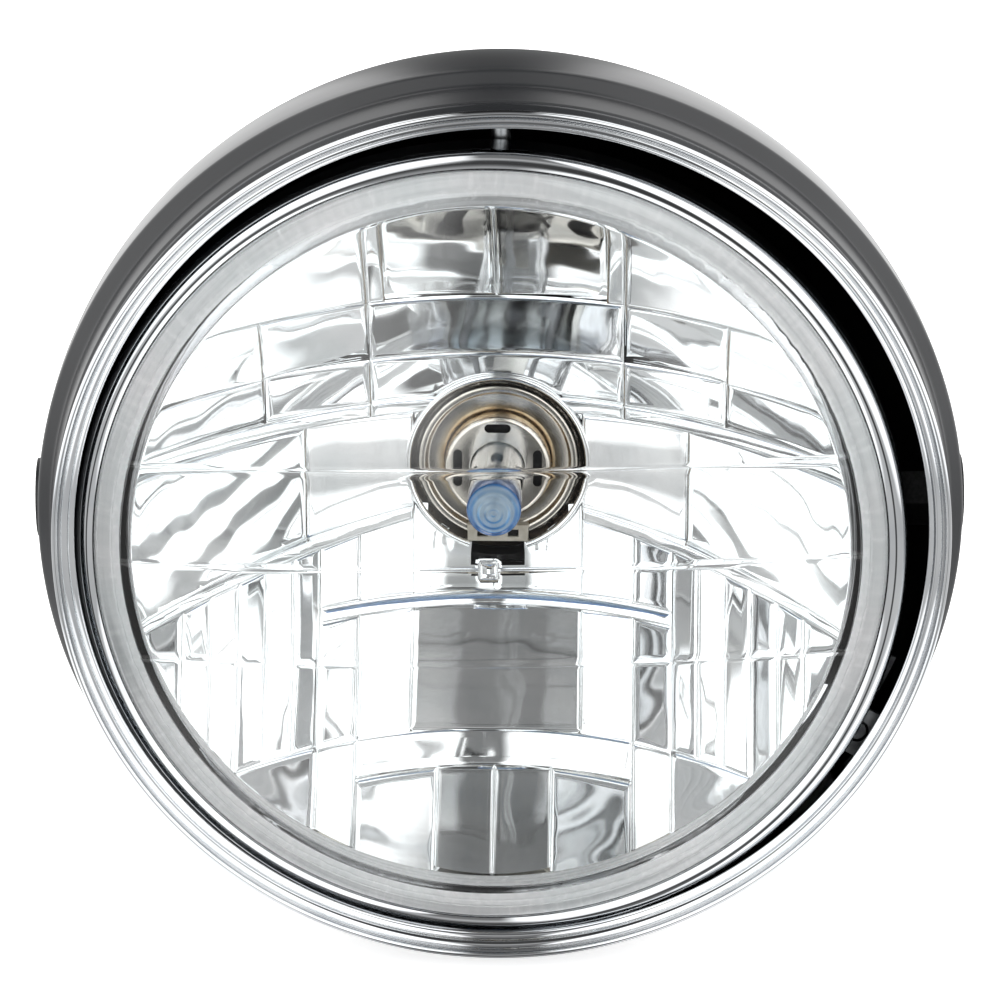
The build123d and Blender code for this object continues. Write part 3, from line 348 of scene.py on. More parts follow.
def sweep_round(mesh, profile, place, segments, start=0.0, span=360.0, loop=True):
    full = span >= FULL_TURN
    columns = segments if full else segments + 1
    rings = []
    for i in range(columns):
        angle = math.radians(start + span * i / segments)
        rings.append([
            mesh.verts.new(place(r * math.cos(angle), ahead, r * math.sin(angle))) for r, ahead in profile
        ])
    for i in range(segments):
        left, right = rings[i], rings[(i + 1) % columns]
        for k in range(len(profile) if loop else len(profile) - 1):
            n = (k + 1) % len(profile)
            mesh.faces.new((left[k], right[k], right[n], left[n]))
    if not full:
        mesh.faces.new(rings[0])
        mesh.faces.new(list(reversed(rings[-1])))


def plate(mesh, place, outline, low, high):
    ends = []
    for level in (low, high):
        ends.append([mesh.verts.new(place(a, b, level)) for a, b in outline])
    mesh.faces.new(ends[0])
    mesh.faces.new(list(reversed(ends[1])))
    for i in range(len(outline)):
        n = (i + 1) % len(outline)
        mesh.faces.new((ends[0][i], ends[1][i], ends[1][n], ends[0][n]))


def mesh_data(mesh, merge=True):
    if merge:
        bmesh.ops.remove_doubles(mesh, verts=mesh.verts, dist=1e-7)
    bmesh.ops.recalc_face_normals(mesh, faces=mesh.faces)
    data = bpy.data.meshes.new("mesh")
    mesh.to_mesh(data)
    mesh.free()
    return data


def stand(data, name, material, body, stands_for=(), sharp=32.0):
    data.name = name
    data.polygons.foreach_set("use_smooth", [True] * len(data.polygons))
    data.set_sharp_from_angle(angle=math.radians(sharp))
    data.materials.clear()
    data.materials.append(material)
    piece = put(name, data)
    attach(piece, body)
    if stands_for:
        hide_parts(*stands_for)
    print(name, "triangles:", sum(len(face.vertices) - 2 for face in data.polygons))
    return piece


# %% [markdown]
# ## Chrome rim
# The rim is one strip of steel, pressed into two coves and an outer bead, then plated. Its look is all
# in the profile: each cove gathers a band of the room into a thin line. So the profile is drawn point
# by point, with small rounded edges that catch a highlight, and turned on a fine lathe.

# %% Turn the rim
TURNED = 400
RIM_R, LIP_R, BEAD = 100.0, 95.2, 3.75
SHEET, RIM_BACK, LIP_EDGE, SEAT_R = 0.8, 4.4, 0.8, 98.6
TAB_R, TAB_ROOT, TAB_HALF = 97.6, 99.6, 7.0
HOOK_AT, HOOK_R, FOOT_END = 20.15, 101.6, 30.6


def moulding(across, ahead):
    return (LIP_R + across * (RIM_R - LIP_R), ahead * BEAD)


rim_profile = [(LIP_R, -LIP_EDGE), moulding(0, -0.05)]
rim_profile += arc_points(moulding(0.05, 0.013), moulding(0.225, 0.12), moulding(0.29, 0.41), 12)
rim_profile += arc_points(moulding(0.365, 0.425), moulding(0.54, 0.52), moulding(0.604, 0.8), 12)
rim_profile += [moulding(0.665, 0.81), moulding(0.7, 0.69)]
rim_profile += arc_points(moulding(0.74, 0.73), moulding(0.88, 1.0), moulding(1.0, 0.8), 16)
rim_profile += [
    (RIM_R, -RIM_BACK),
    (SEAT_R, -RIM_BACK),
    (SEAT_R, SHEET - RIM_BACK),
    (RIM_R - SHEET, SHEET - RIM_BACK),
    (RIM_R - SHEET, 0.5 * BEAD),
    moulding(0.64, 0.42),
    moulding(0.6, 0.28),
    moulding(0.37, 0.15),
    moulding(0.3, -0.1),
    (LIP_R + SHEET, -LIP_EDGE),
]
mesh = bmesh.new()
sweep_round(mesh, soften(rim_profile, radius=0.16), in_lamp, TURNED)

# %% Fold the rim's tabs
# The upper tab hooks over the bucket's mouth; the lower one steps out to a foot for the rim's screw.


def on_edge(depth, up, right):
    return in_lamp(right, -depth, up)


TAB_FRONT, TAB_TOP = RIM_BACK - SHEET, TAB_R + SHEET
upper_tab = [
    (TAB_FRONT, TAB_ROOT), (TAB_FRONT, TAB_R), (HOOK_AT + SHEET, TAB_R), (HOOK_AT + SHEET, HOOK_R),
    (HOOK_AT, HOOK_R), (HOOK_AT, TAB_TOP), (RIM_BACK, TAB_TOP), (RIM_BACK, TAB_ROOT),
]
lower_tab = [
    (TAB_FRONT, -TAB_ROOT), (TAB_FRONT, -TAB_R), (HOOK_AT + 0.5 * SHEET, -TAB_R),
    (HOOK_AT + 2.5 * SHEET, SHEET - HOOK_R), (FOOT_END, SHEET - HOOK_R), (FOOT_END, -HOOK_R),
    (HOOK_AT + 2 * SHEET, -HOOK_R), (HOOK_AT, -TAB_TOP), (RIM_BACK, -TAB_TOP), (RIM_BACK, -TAB_ROOT),
]
for tab in (upper_tab, lower_tab):
    plate(mesh, on_edge, tab, -TAB_HALF, TAB_HALF)
stand(mesh_data(mesh), "polished_rim", chrome, "housing", ["rim"])

# %% [markdown]
# ## Retaining ring
# A second chrome ring clamps the glass to the reflector. Its bead is full round; behind it a plain
# skirt runs back, open at four o'clock where the aim tab comes through, and three tabs fold in.

# %% Turn the retaining ring
FLANGE_R, SIGHT_R, RING_BEAD_R, RING_BEAD = 92.0, 88.8, 91.0, 1.3
SKIRT_IN, SKIRT_OUT, SHOULDER, NOTCH_FRONT, RING_BACK = 92.4, 93.4, -0.8, -1.0, -9.0
AIM_BEARING, AIM_HALF, SKIRT_SIDES = -28, 7.5, 360
bead = [(SIGHT_R, 0.0)]
sight_bulge = (0.6 * SIGHT_R + 0.4 * RING_BEAD_R, 0.85 * RING_BEAD)
bead += arc_points((SIGHT_R, 0.4 * RING_BEAD), sight_bulge, (RING_BEAD_R, RING_BEAD), 10)
skirt_bulge = (0.3 * RING_BEAD_R + 0.7 * SKIRT_OUT, 0.66 * RING_BEAD + 0.34 * SHOULDER)
bead += arc_points((RING_BEAD_R, RING_BEAD), skirt_bulge, (SKIRT_OUT, SHOULDER), 14)[1:]
bead += [(SKIRT_OUT, NOTCH_FRONT), (SKIRT_IN, NOTCH_FRONT), (SKIRT_IN, 0.0)]
mesh = bmesh.new()
sweep_round(mesh, soften(bead, radius=0.12), in_unit, TURNED)
skirt = [(SKIRT_IN, NOTCH_FRONT), (SKIRT_OUT, NOTCH_FRONT), (SKIRT_OUT, RING_BACK), (SKIRT_IN, RING_BACK)]
notch_half = math.degrees(AIM_HALF / SKIRT_OUT)
sweep_round(mesh, skirt, in_unit, SKIRT_SIDES, AIM_BEARING + notch_half, 360 - 2 * notch_half)

# %% Fold the ring's tabs
TAB_BEARINGS, FOLD_IN, FOLD_OUT, FOLD_HALF, FOLD_THICK = (40, 160, 250), 86.0, 92.9, 6.0, 1.0


def face_on(right, up, ahead):
    return in_unit(right, ahead, up)


fold = [(FOLD_IN, -FOLD_HALF), (FOLD_OUT, -FOLD_HALF), (FOLD_OUT, FOLD_HALF), (FOLD_IN, FOLD_HALF)]
for angle in map(math.radians, TAB_BEARINGS):
    c, s = math.cos(angle), math.sin(angle)
    outline = [(a * c - b * s, a * s + b * c) for a, b in fold]
    plate(mesh, face_on, outline, RING_BACK, RING_BACK + FOLD_THICK)
stand(mesh_data(mesh), "polished_ring", chrome, "lens_unit", ["retaining_ring"])

# %% [markdown]
# ## Lens
# The lens is a shallow pressed-glass dome with a thick flange. Three fine lines and a small square were
# cut in the mould. Refraction needs one closed skin, so they can't be laid on top. The dome starts as a
# flat disc, cut into a grid along the lines and beside each raised edge, and every point is then set at
# its height. The disc's edge is carried on round the flange and under the dome to a single pole.

# %% Sizes of the lens
DOME_TOP, SHOULDER_R, SHOULDER_RISE, BOWL_R = 11.0, 85.2, 2.5, 83.0
LENS_THICK, LENS_BACK, LENS_SIDES, LENS_GRID = 3.4, -3.5, 240, 3.0
DOME_RISE = DOME_TOP - SHOULDER_RISE
BALL_R = (SHOULDER_R**2 + DOME_RISE**2) / (2 * DOME_RISE)
BALL_AT = DOME_TOP - BALL_R
INSIDE, INSIDE_OUT = BALL_R - LENS_THICK, BOWL_R - SHOULDER_RISE
LINE_ROLL = math.radians(1.2)
LINES, LINE_HALF, LINE_RISE = (-23.0, 0.0, 23.0), 0.4, 0.11
LINE_END, LINE_FADE = 0.8, 2.0
MARK_MID, MARK_HALF, MARK_RISE = 1.75, 0.4, 0.22


def ball(radius, out):
    return BALL_AT + math.sqrt(radius**2 - out**2)


def raised(run, rise):
    box = max(abs(run), abs(rise))
    frame_share = max(0.0, 1 - ((box - MARK_MID) / MARK_HALF) ** 2)
    if box < MARK_MID:
        return MARK_RISE * frame_share
    gap = min(abs(rise - line) for line in LINES)
    fade = max(0.0, min(1.0, (SHOULDER_R - LINE_END - math.hypot(run, rise)) / LINE_FADE))
    return max(MARK_RISE * frame_share, LINE_RISE * fade * max(0.0, 1 - (gap / LINE_HALF) ** 2))


print("lens dome radius:", round(BALL_R, 1), "mm")

# %% Press the lens


def slice_at(mesh, at, normal, near=1e-6):
    whole = list(mesh.verts) + list(mesh.edges) + list(mesh.faces)
    bmesh.ops.bisect_plane(mesh, geom=whole, plane_co=at, plane_no=normal, dist=near)


def slice_across(mesh, axis, level, near=1e-6):
    at, normal = Vector((0, 0, 0)), Vector((0, 0, 0))
    at[axis], normal[axis] = level, 1
    slice_at(mesh, at, normal, near)


LINE_STEPS, INSIDE_STEPS, SIGHT_GAP = 3, 40, 0.2
mesh = bmesh.new()
mesh.faces.new([
    mesh.verts.new((SHOULDER_R * math.cos(a), 0, SHOULDER_R * math.sin(a)))
    for a in (2 * math.pi * i / LENS_SIDES for i in range(LENS_SIDES))
])
grid_out = int(SHOULDER_R / LENS_GRID)
grid = [LENS_GRID * i for i in range(-grid_out, grid_out + 1)]
frame_cuts = [way * (MARK_MID + MARK_HALF * share) for way in (-1, 1) for share in (-1, -0.5, 0, 0.5, 1)]
line_steps = range(-LINE_STEPS, LINE_STEPS + 1)
line_cuts = [line + LINE_HALF * step / LINE_STEPS for line in LINES for step in line_steps]
for axis, levels in ((0, grid + frame_cuts), (2, grid + frame_cuts + line_cuts)):
    for level in levels:
        slice_across(mesh, axis, level, near=1e-5)
edge = sorted((v for v in mesh.verts if v.is_boundary), key=lambda v: math.atan2(v.co.z, v.co.x))
bearings = [math.atan2(v.co.z, v.co.x) + LINE_ROLL for v in edge]
for vert in mesh.verts:
    run, rise = vert.co.x, vert.co.z
    right = run * math.cos(LINE_ROLL) - rise * math.sin(LINE_ROLL)
    up = run * math.sin(LINE_ROLL) + rise * math.cos(LINE_ROLL)
    vert.co = in_unit(right, ball(BALL_R, math.hypot(run, rise)) + raised(run, rise), up)
sides = [(SHOULDER_R, SHOULDER_RISE)]
curl = (0.35 * SHOULDER_R + 0.65 * SIGHT_R, 0.72 * SHOULDER_RISE)
sides += arc_points(sides[0], curl, (SIGHT_R - SIGHT_GAP, 0), 10)[1:]
sides += [(FLANGE_R, 0), (FLANGE_R, LENS_BACK), (BOWL_R, LENS_BACK)]
inward = [INSIDE_OUT * i / INSIDE_STEPS for i in range(INSIDE_STEPS, 0, -1)]
sides += [(r, ball(INSIDE, r)) for r in inward]
for r, ahead in soften(sides, radius=0.5, closed=False)[1:]:
    after = [mesh.verts.new(in_unit(r * math.cos(a), ahead, r * math.sin(a))) for a in bearings]
    for i in range(len(edge)):
        mesh.faces.new((edge[i - 1], edge[i], after[i], after[i - 1]))
    edge = after
pole = mesh.verts.new(in_unit(0, ball(INSIDE, 0), 0))
for i in range(len(edge)):
    mesh.faces.new((edge[i - 1], edge[i], pole))
stand(mesh_data(mesh), "pressed_lens", glass, "lens_unit", ["lens"], sharp=40)

# %% [markdown]
# ## Faceted reflector
# This is the lamp's showpiece. The bowl is a paraboloid, but it is cut into blocks, and each block is a
# slightly different paraboloid that throws its share of the beam. A few blocks are flat from side to
# side. Each block is made here as a small tile: its outline is cut into fine strips, every point is set
# at the block's own depth, and the tile's edges are rolled over, as lacquer rounds them. Walls and a
# back close the tile.

# %% The bowl, and the rows and columns of its blocks
FOCAL, HOLE_R = 31.1, 20.8
NOTCH_HALF, NOTCH_FOOT = 6.4, -25.0
BOWL_EDGE_AHEAD = -12.1
APEX = BOWL_EDGE_AHEAD - BOWL_R**2 / (4 * FOCAL)
EDGE = BOWL_R + 12
CROWN, BROW, LEDGE, WING = 45.0, 28.5, 16.5, 12.5
BAND, ARCH, APRON, HEM = 3.0, -30.5, -58.0, -65.0
KEEL, BULB_SIDE, STILE, CENTRE = 13.5, 20.0, 25.5, 29.5
POST, FLUTES, INNER, OUTER = 32.2, 41.3, 44.5, 53.0
SHELF, SHELF_DROP, SHELF_RUN = -10.4, 11.1, 59.6
FLUTE_COUNT, FLUTE_WIDE, FLUTE_AIM = 6, 6.0, 8


def bowl(x, z):
    return APEX + (x**2 + z**2) / (4 * FOCAL)


def block(left, right, top, foot, top_right=None, foot_right=None):
    top_end = top if top_right is None else top_right
    foot_end = foot if foot_right is None else foot_right
    return [(left, foot), (right, foot_end), (right, top_end), (left, top)]


def shelf(x):
    return SHELF - SHELF_DROP / SHELF_RUN * (x - BULB_SIDE)


def under(x):
    return shelf(x) - BAND


print("bowl depth:", round(BOWL_EDGE_AHEAD - APEX, 1), "mm")

# %% Lay out the blocks
# Each block has its outline, the scale of its focal length, its aim to the side and upward, and its step.
middle_blocks = [
    (block(-CENTRE, CENTRE, BROW, LEDGE), 0.92, 0, -3, 0.0),
    (block(-CENTRE, CENTRE, CROWN, BROW), 1.08, 0, 4, 0.5),
    (block(-CENTRE, CENTRE, LEDGE, WING), 1.0, 0, -9, 0.6),
    (block(-FLUTES, FLUTES, ARCH, ARCH - BAND), 1.0, 0, 9, 0.7),
    (block(-POST, POST, APRON, HEM), 1.1, 0, -8, -0.3),
]
side_blocks = [
    (block(0, BULB_SIDE, WING, ARCH), 1.0, 6, 0, 0.0),
    (block(CENTRE, OUTER, BROW, LEDGE), 1.06, 3, 2, 0.3),
    (block(OUTER, EDGE, BROW, LEDGE), 0.96, -3, -2, -0.2),
    (block(CENTRE, OUTER, CROWN, BROW), 0.95, -3, -2, -0.3),
    (block(OUTER, EDGE, CROWN, BROW), 1.05, 3, 2, 0.3),
    (block(0, STILE, EDGE, CROWN), 1.0, 5, -3, -0.8),
    (block(STILE, CENTRE, EDGE, CROWN), 1.0, 10, 0, 0.2),
    (block(CENTRE, EDGE, EDGE, CROWN), 1.02, -2, 3, 0.4),
    (block(CENTRE, EDGE, LEDGE, WING), 1.0, 0, -9, 0.6),
    (block(BULB_SIDE, INNER, WING, SHELF, foot_right=shelf(INNER)), 1.1, 5, 0, -0.4),
    (block(INNER, EDGE, WING, shelf(INNER), foot_right=shelf(EDGE)), 0.98, -6, 0, 0.2),
    (block(BULB_SIDE, EDGE, SHELF, under(BULB_SIDE), shelf(EDGE), under(EDGE)), 1.0, 0, -12, 0.7),
    (block(BULB_SIDE, POST, under(BULB_SIDE), ARCH, under(POST)), 1.05, 4, 0, -0.2),
    (block(POST, FLUTES, under(POST), ARCH, under(FLUTES)), 1.0, -6, 0, 0.3),
    (block(BULB_SIDE, POST, ARCH - BAND, APRON), 1.03, 5, -3, -0.5),
    (block(POST, FLUTES, ARCH - BAND, APRON), 1.0, -6, 2, 0.9),
    (block(KEEL, POST, HEM, -EDGE), 1.0, -4, 4, 0.3),
    (block(POST, FLUTES, APRON, -EDGE), 1.0, 5, 0, -0.2),
    (block(FLUTES, EDGE, APRON, -EDGE), 1.0, -2, 3, 0.3),
]
for flute in range(FLUTE_COUNT):
    near = FLUTES + FLUTE_WIDE * flute
    far = EDGE if flute == FLUTE_COUNT - 1 else near + FLUTE_WIDE
    flute_aim = FLUTE_AIM if flute % 2 else -FLUTE_AIM
    side_blocks.append((block(near, far, under(near), APRON, under(far)), 1.0, flute_aim, 0, 0.0))
flat_blocks = [
    (block(-BULB_SIDE, BULB_SIDE, ARCH - BAND, APRON), 1.4),
    (block(0, KEEL, HEM, -EDGE), -0.9),
    (block(-KEEL, 0, HEM, -EDGE), -0.9),
]
blocks = [(*spec, 1) for spec in middle_blocks]
for corners, scale, shift_x, shift_z, step in side_blocks:
    blocks.append((corners, scale, shift_x, shift_z, step, 1))
    blocks.append(([(-x, z) for x, z in reversed(corners)], scale, -shift_x, shift_z, step, 1))
blocks += [(corners, 1.0, 0, 0, step, 0) for corners, step in flat_blocks]
print("reflector blocks:", len(blocks))

# %% Cut a tile's outline
PITCH = 1.6
ROLL, ROLL_DROP = 0.8, 0.42
ROLL_STEPS = (0.15, 0.32, 0.54, 0.8)
ROUND_SIDES, TILE_BACK = 240, 3.2


def clip_round(corners, radius):
    shape = list(corners)
    reach = radius * math.cos(math.pi / ROUND_SIDES)
    for i in range(ROUND_SIDES):
        a = 2 * math.pi * (i + 0.5) / ROUND_SIDES
        nx, nz = math.cos(a), math.sin(a)
        cut = []
        for k, here in enumerate(shape):
            after = shape[(k + 1) % len(shape)]
            d0 = here[0] * nx + here[1] * nz - reach
            d1 = after[0] * nx + after[1] * nz - reach
            if d0 <= 0:
                cut.append(here)
            if d0 * d1 < 0:
                t = d0 / (d0 - d1)
                cut.append((here[0] + t * (after[0] - here[0]), here[1] + t * (after[1] - here[1])))
        shape = cut
    return shape


def cut_tile(corners):
    tile = bmesh.new()
    tile.faces.new([tile.verts.new((x, 0, z)) for x, z in clip_round(corners, BOWL_R)])
    bmesh.ops.remove_doubles(tile, verts=tile.verts, dist=1e-4)
    for axis in (0, 2):
        low = min(v.co[axis] for v in tile.verts)
        high = max(v.co[axis] for v in tile.verts)
        cuts = max(1, int((high - low) / PITCH))
        for k in range(1, cuts):
            slice_across(tile, axis, low + (high - low) * k / cuts)
    for a, b in zip(corners, corners[1:] + corners[:1]):
        side = Vector((b[0] - a[0], 0, b[1] - a[1])).normalized()
        inward = Vector((-side.z, 0, side.x))
        for inset in ROLL_STEPS:
            slice_at(tile, Vector((a[0], 0, a[1])) + inward * inset, inward)
    return tile


# %% Open a tile for the bulb, and set its depth
SNAP_LEAST, SNAP_MOST, HOLE_SLACK = 0.01, 0.62 * PITCH, 0.05


def open_for_bulb(tile, corners):
    across, upright = [x for x, z in corners], [z for x, z in corners]
    notched = min(across) <= 0 <= max(across) and min(upright) < 0 < max(upright)
    if notched:
        for way in (-1, 1):
            slice_across(tile, 0, way * NOTCH_HALF)
        slice_across(tile, 2, NOTCH_FOOT)
    for vert in tile.verts:
        out = math.hypot(vert.co.x, vert.co.z)
        if SNAP_LEAST < abs(out - HOLE_R) < SNAP_MOST:
            vert.co.x *= HOLE_R / out
            vert.co.z *= HOLE_R / out
    gone = []
    for face in tile.faces:
        middle = face.calc_center_median()
        in_notch = notched and abs(middle.x) < NOTCH_HALF and NOTCH_FOOT < middle.z < 0
        if in_notch or math.hypot(middle.x, middle.z) < HOLE_R - HOLE_SLACK:
            gone.append(face)
    bmesh.ops.delete(tile, geom=gone, context="FACES")


def lay_tile(mesh, corners, scale, shift_x, shift_z, step, across):
    inside = 0.9 * BOWL_R
    mid_x = sum(max(-inside, min(inside, x)) for x, z in corners) / 4
    mid_z = sum(max(-inside, min(inside, z)) for x, z in corners) / 4
    f = 4 * FOCAL * scale
    apex = bowl(mid_x, mid_z) + step - (across * (mid_x - shift_x) ** 2 + (mid_z - shift_z) ** 2) / f
    tile = cut_tile(corners)
    open_for_bulb(tile, corners)
    twin = {}
    for vert in tile.verts:
        x, z = vert.co.x, vert.co.z
        front = apex + (across * (x - shift_x) ** 2 + (z - shift_z) ** 2) / f
        edge_gap = min(
            ((z - a[1]) * (b[0] - a[0]) - (x - a[0]) * (b[1] - a[1])) / math.dist(a, b)
            for a, b in zip(corners, corners[1:] + corners[:1])
        )
        front -= ROLL_DROP * max(0.0, 1 - edge_gap / ROLL) ** 2
        back = bowl(x, z) - TILE_BACK
        twin[vert] = (mesh.verts.new(in_unit(x, front, z)), mesh.verts.new(in_unit(x, back, z)))
    for face in tile.faces:
        mesh.faces.new([twin[v][0] for v in face.verts])
        mesh.faces.new([twin[v][1] for v in reversed(face.verts)])
    for edge in tile.edges:
        if len(edge.link_faces) == 1:
            a, b = edge.verts
            mesh.faces.new((twin[a][0], twin[b][0], twin[b][1], twin[a][1]))
    tile.free()


# %% Set the tiles
mesh = bmesh.new()
for spec in blocks:
    lay_tile(mesh, *spec)
facet_data = mesh_data(mesh, merge=False)
stand(facet_data, "reflector_facets", silvering, "lens_unit", ["reflector"], sharp=30)

# %% [markdown]
# ## Cutting with Booleans
# The reflector's shell has a notch under the bulb, and the bucket has bosses and holes. They are joined
# and cut with Boolean modifiers, because a lathe alone can't make them. The exact solver keeps the skin
# closed, and the result is read back as a plain mesh.

# %% A Boolean helper and a rod


def read_back(thing):
    return bpy.data.meshes.new_from_object(thing.evaluated_get(bpy.context.evaluated_depsgraph_get()))


def carve(data, steps):
    stock = put("stock", data)
    tools = []
    for tool_data, how in steps:
        tools.append(put("tool", tool_data))
        cut = stock.modifiers.new("cut", "BOOLEAN")
        cut.object, cut.operation, cut.solver = tools[-1], how, "EXACT"
    done = read_back(stock)
    for spent in (*tools, stock):
        bpy.data.objects.remove(spent)
    return done


def rod(centre, axis, radius, low, high, sides=64):
    side = axis.orthogonal().normalized()
    other = axis.cross(side)

    def place(a, b, level):
        return (centre + axis * level + side * a + other * b) * MM

    rod_mesh = bmesh.new()
    turns = [2 * math.pi * i / sides for i in range(sides)]
    round_end = [(radius * math.cos(a), radius * math.sin(a)) for a in turns]
    plate(rod_mesh, place, round_end, low, high)
    return mesh_data(rod_mesh)


# %% Turn the reflector's shell
SHELL_R, NECK_R, NECK_BORE, NECK_END, BULB_SEAT = 85.8, 24.3, 22.3, -72.0, -66.0
SHELL_FRONT, SHELL_BACK, SEAT_SKIN, WALL_FOOT = 2.3, 4.0, 0.4, -12.0
FLANGE_FRONT, FLANGE_BACK, CUT_TOP, CUT_AHEAD = -4.3, -6.5, -5.0, -50.0
SHELL_SIDES, RUN_STEPS = 240, 40
shares = [i / RUN_STEPS for i in range(RUN_STEPS + 1)]
back_run = [SHELL_R + (NECK_R - SHELL_R) * share for share in shares]
front_run = [HOLE_R + (BOWL_R - HOLE_R) * share for share in shares]
shell = [(FLANGE_R, FLANGE_FRONT), (FLANGE_R, FLANGE_BACK), (SHELL_R, FLANGE_BACK)]
shell += [(r, bowl(r, 0) - SHELL_BACK) for r in back_run]
shell += [(NECK_R, NECK_END), (NECK_BORE, NECK_END), (NECK_BORE, BULB_SEAT), (HOLE_R, BULB_SEAT)]
shell += [(r, max(bowl(r, 0) - SHELL_FRONT, BULB_SEAT + SEAT_SKIN)) for r in front_run]
shell += [(BOWL_R, WALL_FOOT), (BOWL_R, FLANGE_FRONT)]
mesh = bmesh.new()
sweep_round(mesh, shell, in_unit, SHELL_SIDES)
notch = bmesh.new()
plate(notch, face_on, block(-NOTCH_HALF, NOTCH_HALF, CUT_TOP, NOTCH_FOOT), NECK_END - 2, CUT_AHEAD)
shell_data = carve(mesh_data(mesh), [(mesh_data(notch), "DIFFERENCE")])
stand(shell_data, "reflector_shell", silvering, "lens_unit", sharp=30)

# %% Turn the bare wall and flange
# Fine ribs run round the wall, and fine grooves round the flange, as the mould's turning left them.
WALL_BACK, FACE_OUT, FACE_AHEAD, FACE_BACK = -10.9, 89.0, -3.75, -4.2
SKIN, HAIR, RIB_HALF, GROOVE_HALF, GROOVE = 0.3, 0.02, 0.35, 0.3, 0.25
RIBS, GROOVES = (-9.4, -7.4, -5.6), (85.0, 86.8, 88.2)
wall_r = BOWL_R - SKIN
wall = [(wall_r, WALL_BACK)]
for level in RIBS:
    wall += [(wall_r, level - RIB_HALF), (wall_r - SKIN, level), (wall_r, level + RIB_HALF)]
wall += [(wall_r, FACE_AHEAD)]
for r in GROOVES:
    wall += [(r - GROOVE_HALF, FACE_AHEAD), (r, FACE_AHEAD - GROOVE), (r + GROOVE_HALF, FACE_AHEAD)]
wall += [(FACE_OUT, FACE_AHEAD), (FACE_OUT, FACE_BACK)]
wall += [(BOWL_R - HAIR, FACE_BACK), (BOWL_R - HAIR, WALL_BACK)]
mesh = bmesh.new()
sweep_round(mesh, soften(wall, radius=0.15), in_unit, SHELL_SIDES)
stand(mesh_data(mesh), "bare_flange", bare, "lens_unit", sharp=30)

# %% [markdown]
# ## Bucket
# The bucket is one moulding: a domed shell with a stepped mouth, two bosses for the stays and a hole
# behind for the wires. Its solid is right already; turning it again only smooths the highlight.

# %% Turn the bucket
BUCKET_R, BUCKET_WALL, BUCKET_SIDES, WIRE_HOLE_R = 104.6, 2.0, 288, 12.0
DOME_FROM, DOME_RUN, DOME_CUT = -20.0, 112.0, 108.4


def dome(inset):
    side_r, length = BUCKET_R - inset, DOME_RUN - inset
    last = math.asin((DOME_CUT - inset) / length)
    angles = [last * i / RUN_STEPS for i in range(RUN_STEPS + 1)]
    return [(side_r * math.cos(a), DOME_FROM - length * math.sin(a)) for a in angles]


outside, inside = dome(0), dome(BUCKET_WALL)
mouth = [(BUCKET_R, -15.6), (101.35, -13.5), (100.2, -4.4), (98.8, -4.4), (99.9, -18.0), (102.6, -19.8)]
bucket_profile = [(WIRE_HOLE_R, DOME_FROM - DOME_CUT)] + list(reversed(outside)) + mouth
bucket_profile += inside + [(WIRE_HOLE_R, DOME_FROM - DOME_CUT + BUCKET_WALL)]
mesh = bmesh.new()
sweep_round(mesh, soften(bucket_profile, radius=0.9), in_lamp, BUCKET_SIDES)

# %% Add the bosses and drill the bucket
SIDEWAYS = Vector((1, 0, 0))
STAY, SCREW = Vector((0, LIP_Y + 33.0, 0)), Vector((0, LIP_Y + 26.6, 0))
BOSS_R, BOSS_FROM, BOSS_OUT = 9.0, 100.0, 105.8
BOLT_R, BOLT_FROM, BOLT_OUT = 4.4, 99.0, 107.0
SINK_R, SINK_FROM, DRILL_R, DRILL_OUT = 4.5, 104.2, 2.6, 106.0
steps = []
for way in (SIDEWAYS, -SIDEWAYS):
    steps.append((rod(STAY, way, BOSS_R, BOSS_FROM, BOSS_OUT), "UNION"))
    steps.append((rod(STAY, way, BOLT_R, BOLT_FROM, BOLT_OUT), "DIFFERENCE"))
steps.append((rod(SCREW, -UP, SINK_R, SINK_FROM, DRILL_OUT), "DIFFERENCE"))
steps.append((rod(SCREW, -UP, DRILL_R, BOSS_FROM, DRILL_OUT), "DIFFERENCE"))
bucket_data = carve(mesh_data(mesh), steps)
stand(bucket_data, "moulded_bucket", satin, "housing", ["bucket", "bucket_back"], sharp=28)

# %% [markdown]
# ## Bulb
# The bulb stands in the middle of the reflector: a quartz tube with a rounded, blue-coated tip, faintly
# ringed. It is turned as a thin closed wall, so that it refracts as a real tube does.

# %% Turn the bulb's glass
BULB_R, BULB_WALL, TIP_RUN, TIP_STEPS, TUBE_SIDES = 6.3, 0.7, 3.78, 60, 96
RIPPLE, RIPPLE_STEP = 0.13, 1.575


def tip(inset):
    angles = [math.pi / 2 * i / TIP_STEPS for i in range(TIP_STEPS + 1)]
    foot = TIP_AHEAD - TIP_RUN
    return [((BULB_R - inset) * math.cos(a), foot + (TIP_RUN - inset) * math.sin(a)) for a in angles]


tip_out = [(r, ahead - RIPPLE * (1 - math.cos(2 * math.pi * r / RIPPLE_STEP))) for r, ahead in tip(0)]
tube_foot = [(BULB_R, BULB_SEAT), (BULB_R - BULB_WALL, BULB_SEAT)]
tube = list(reversed(tip_out)) + tube_foot + tip(BULB_WALL)
mesh = bmesh.new()
sweep_round(mesh, tube, in_unit, TUBE_SIDES, loop=False)
stand(mesh_data(mesh), "quartz_tube", quartz, "lens_unit", ["bulb_glass"], sharp=40)
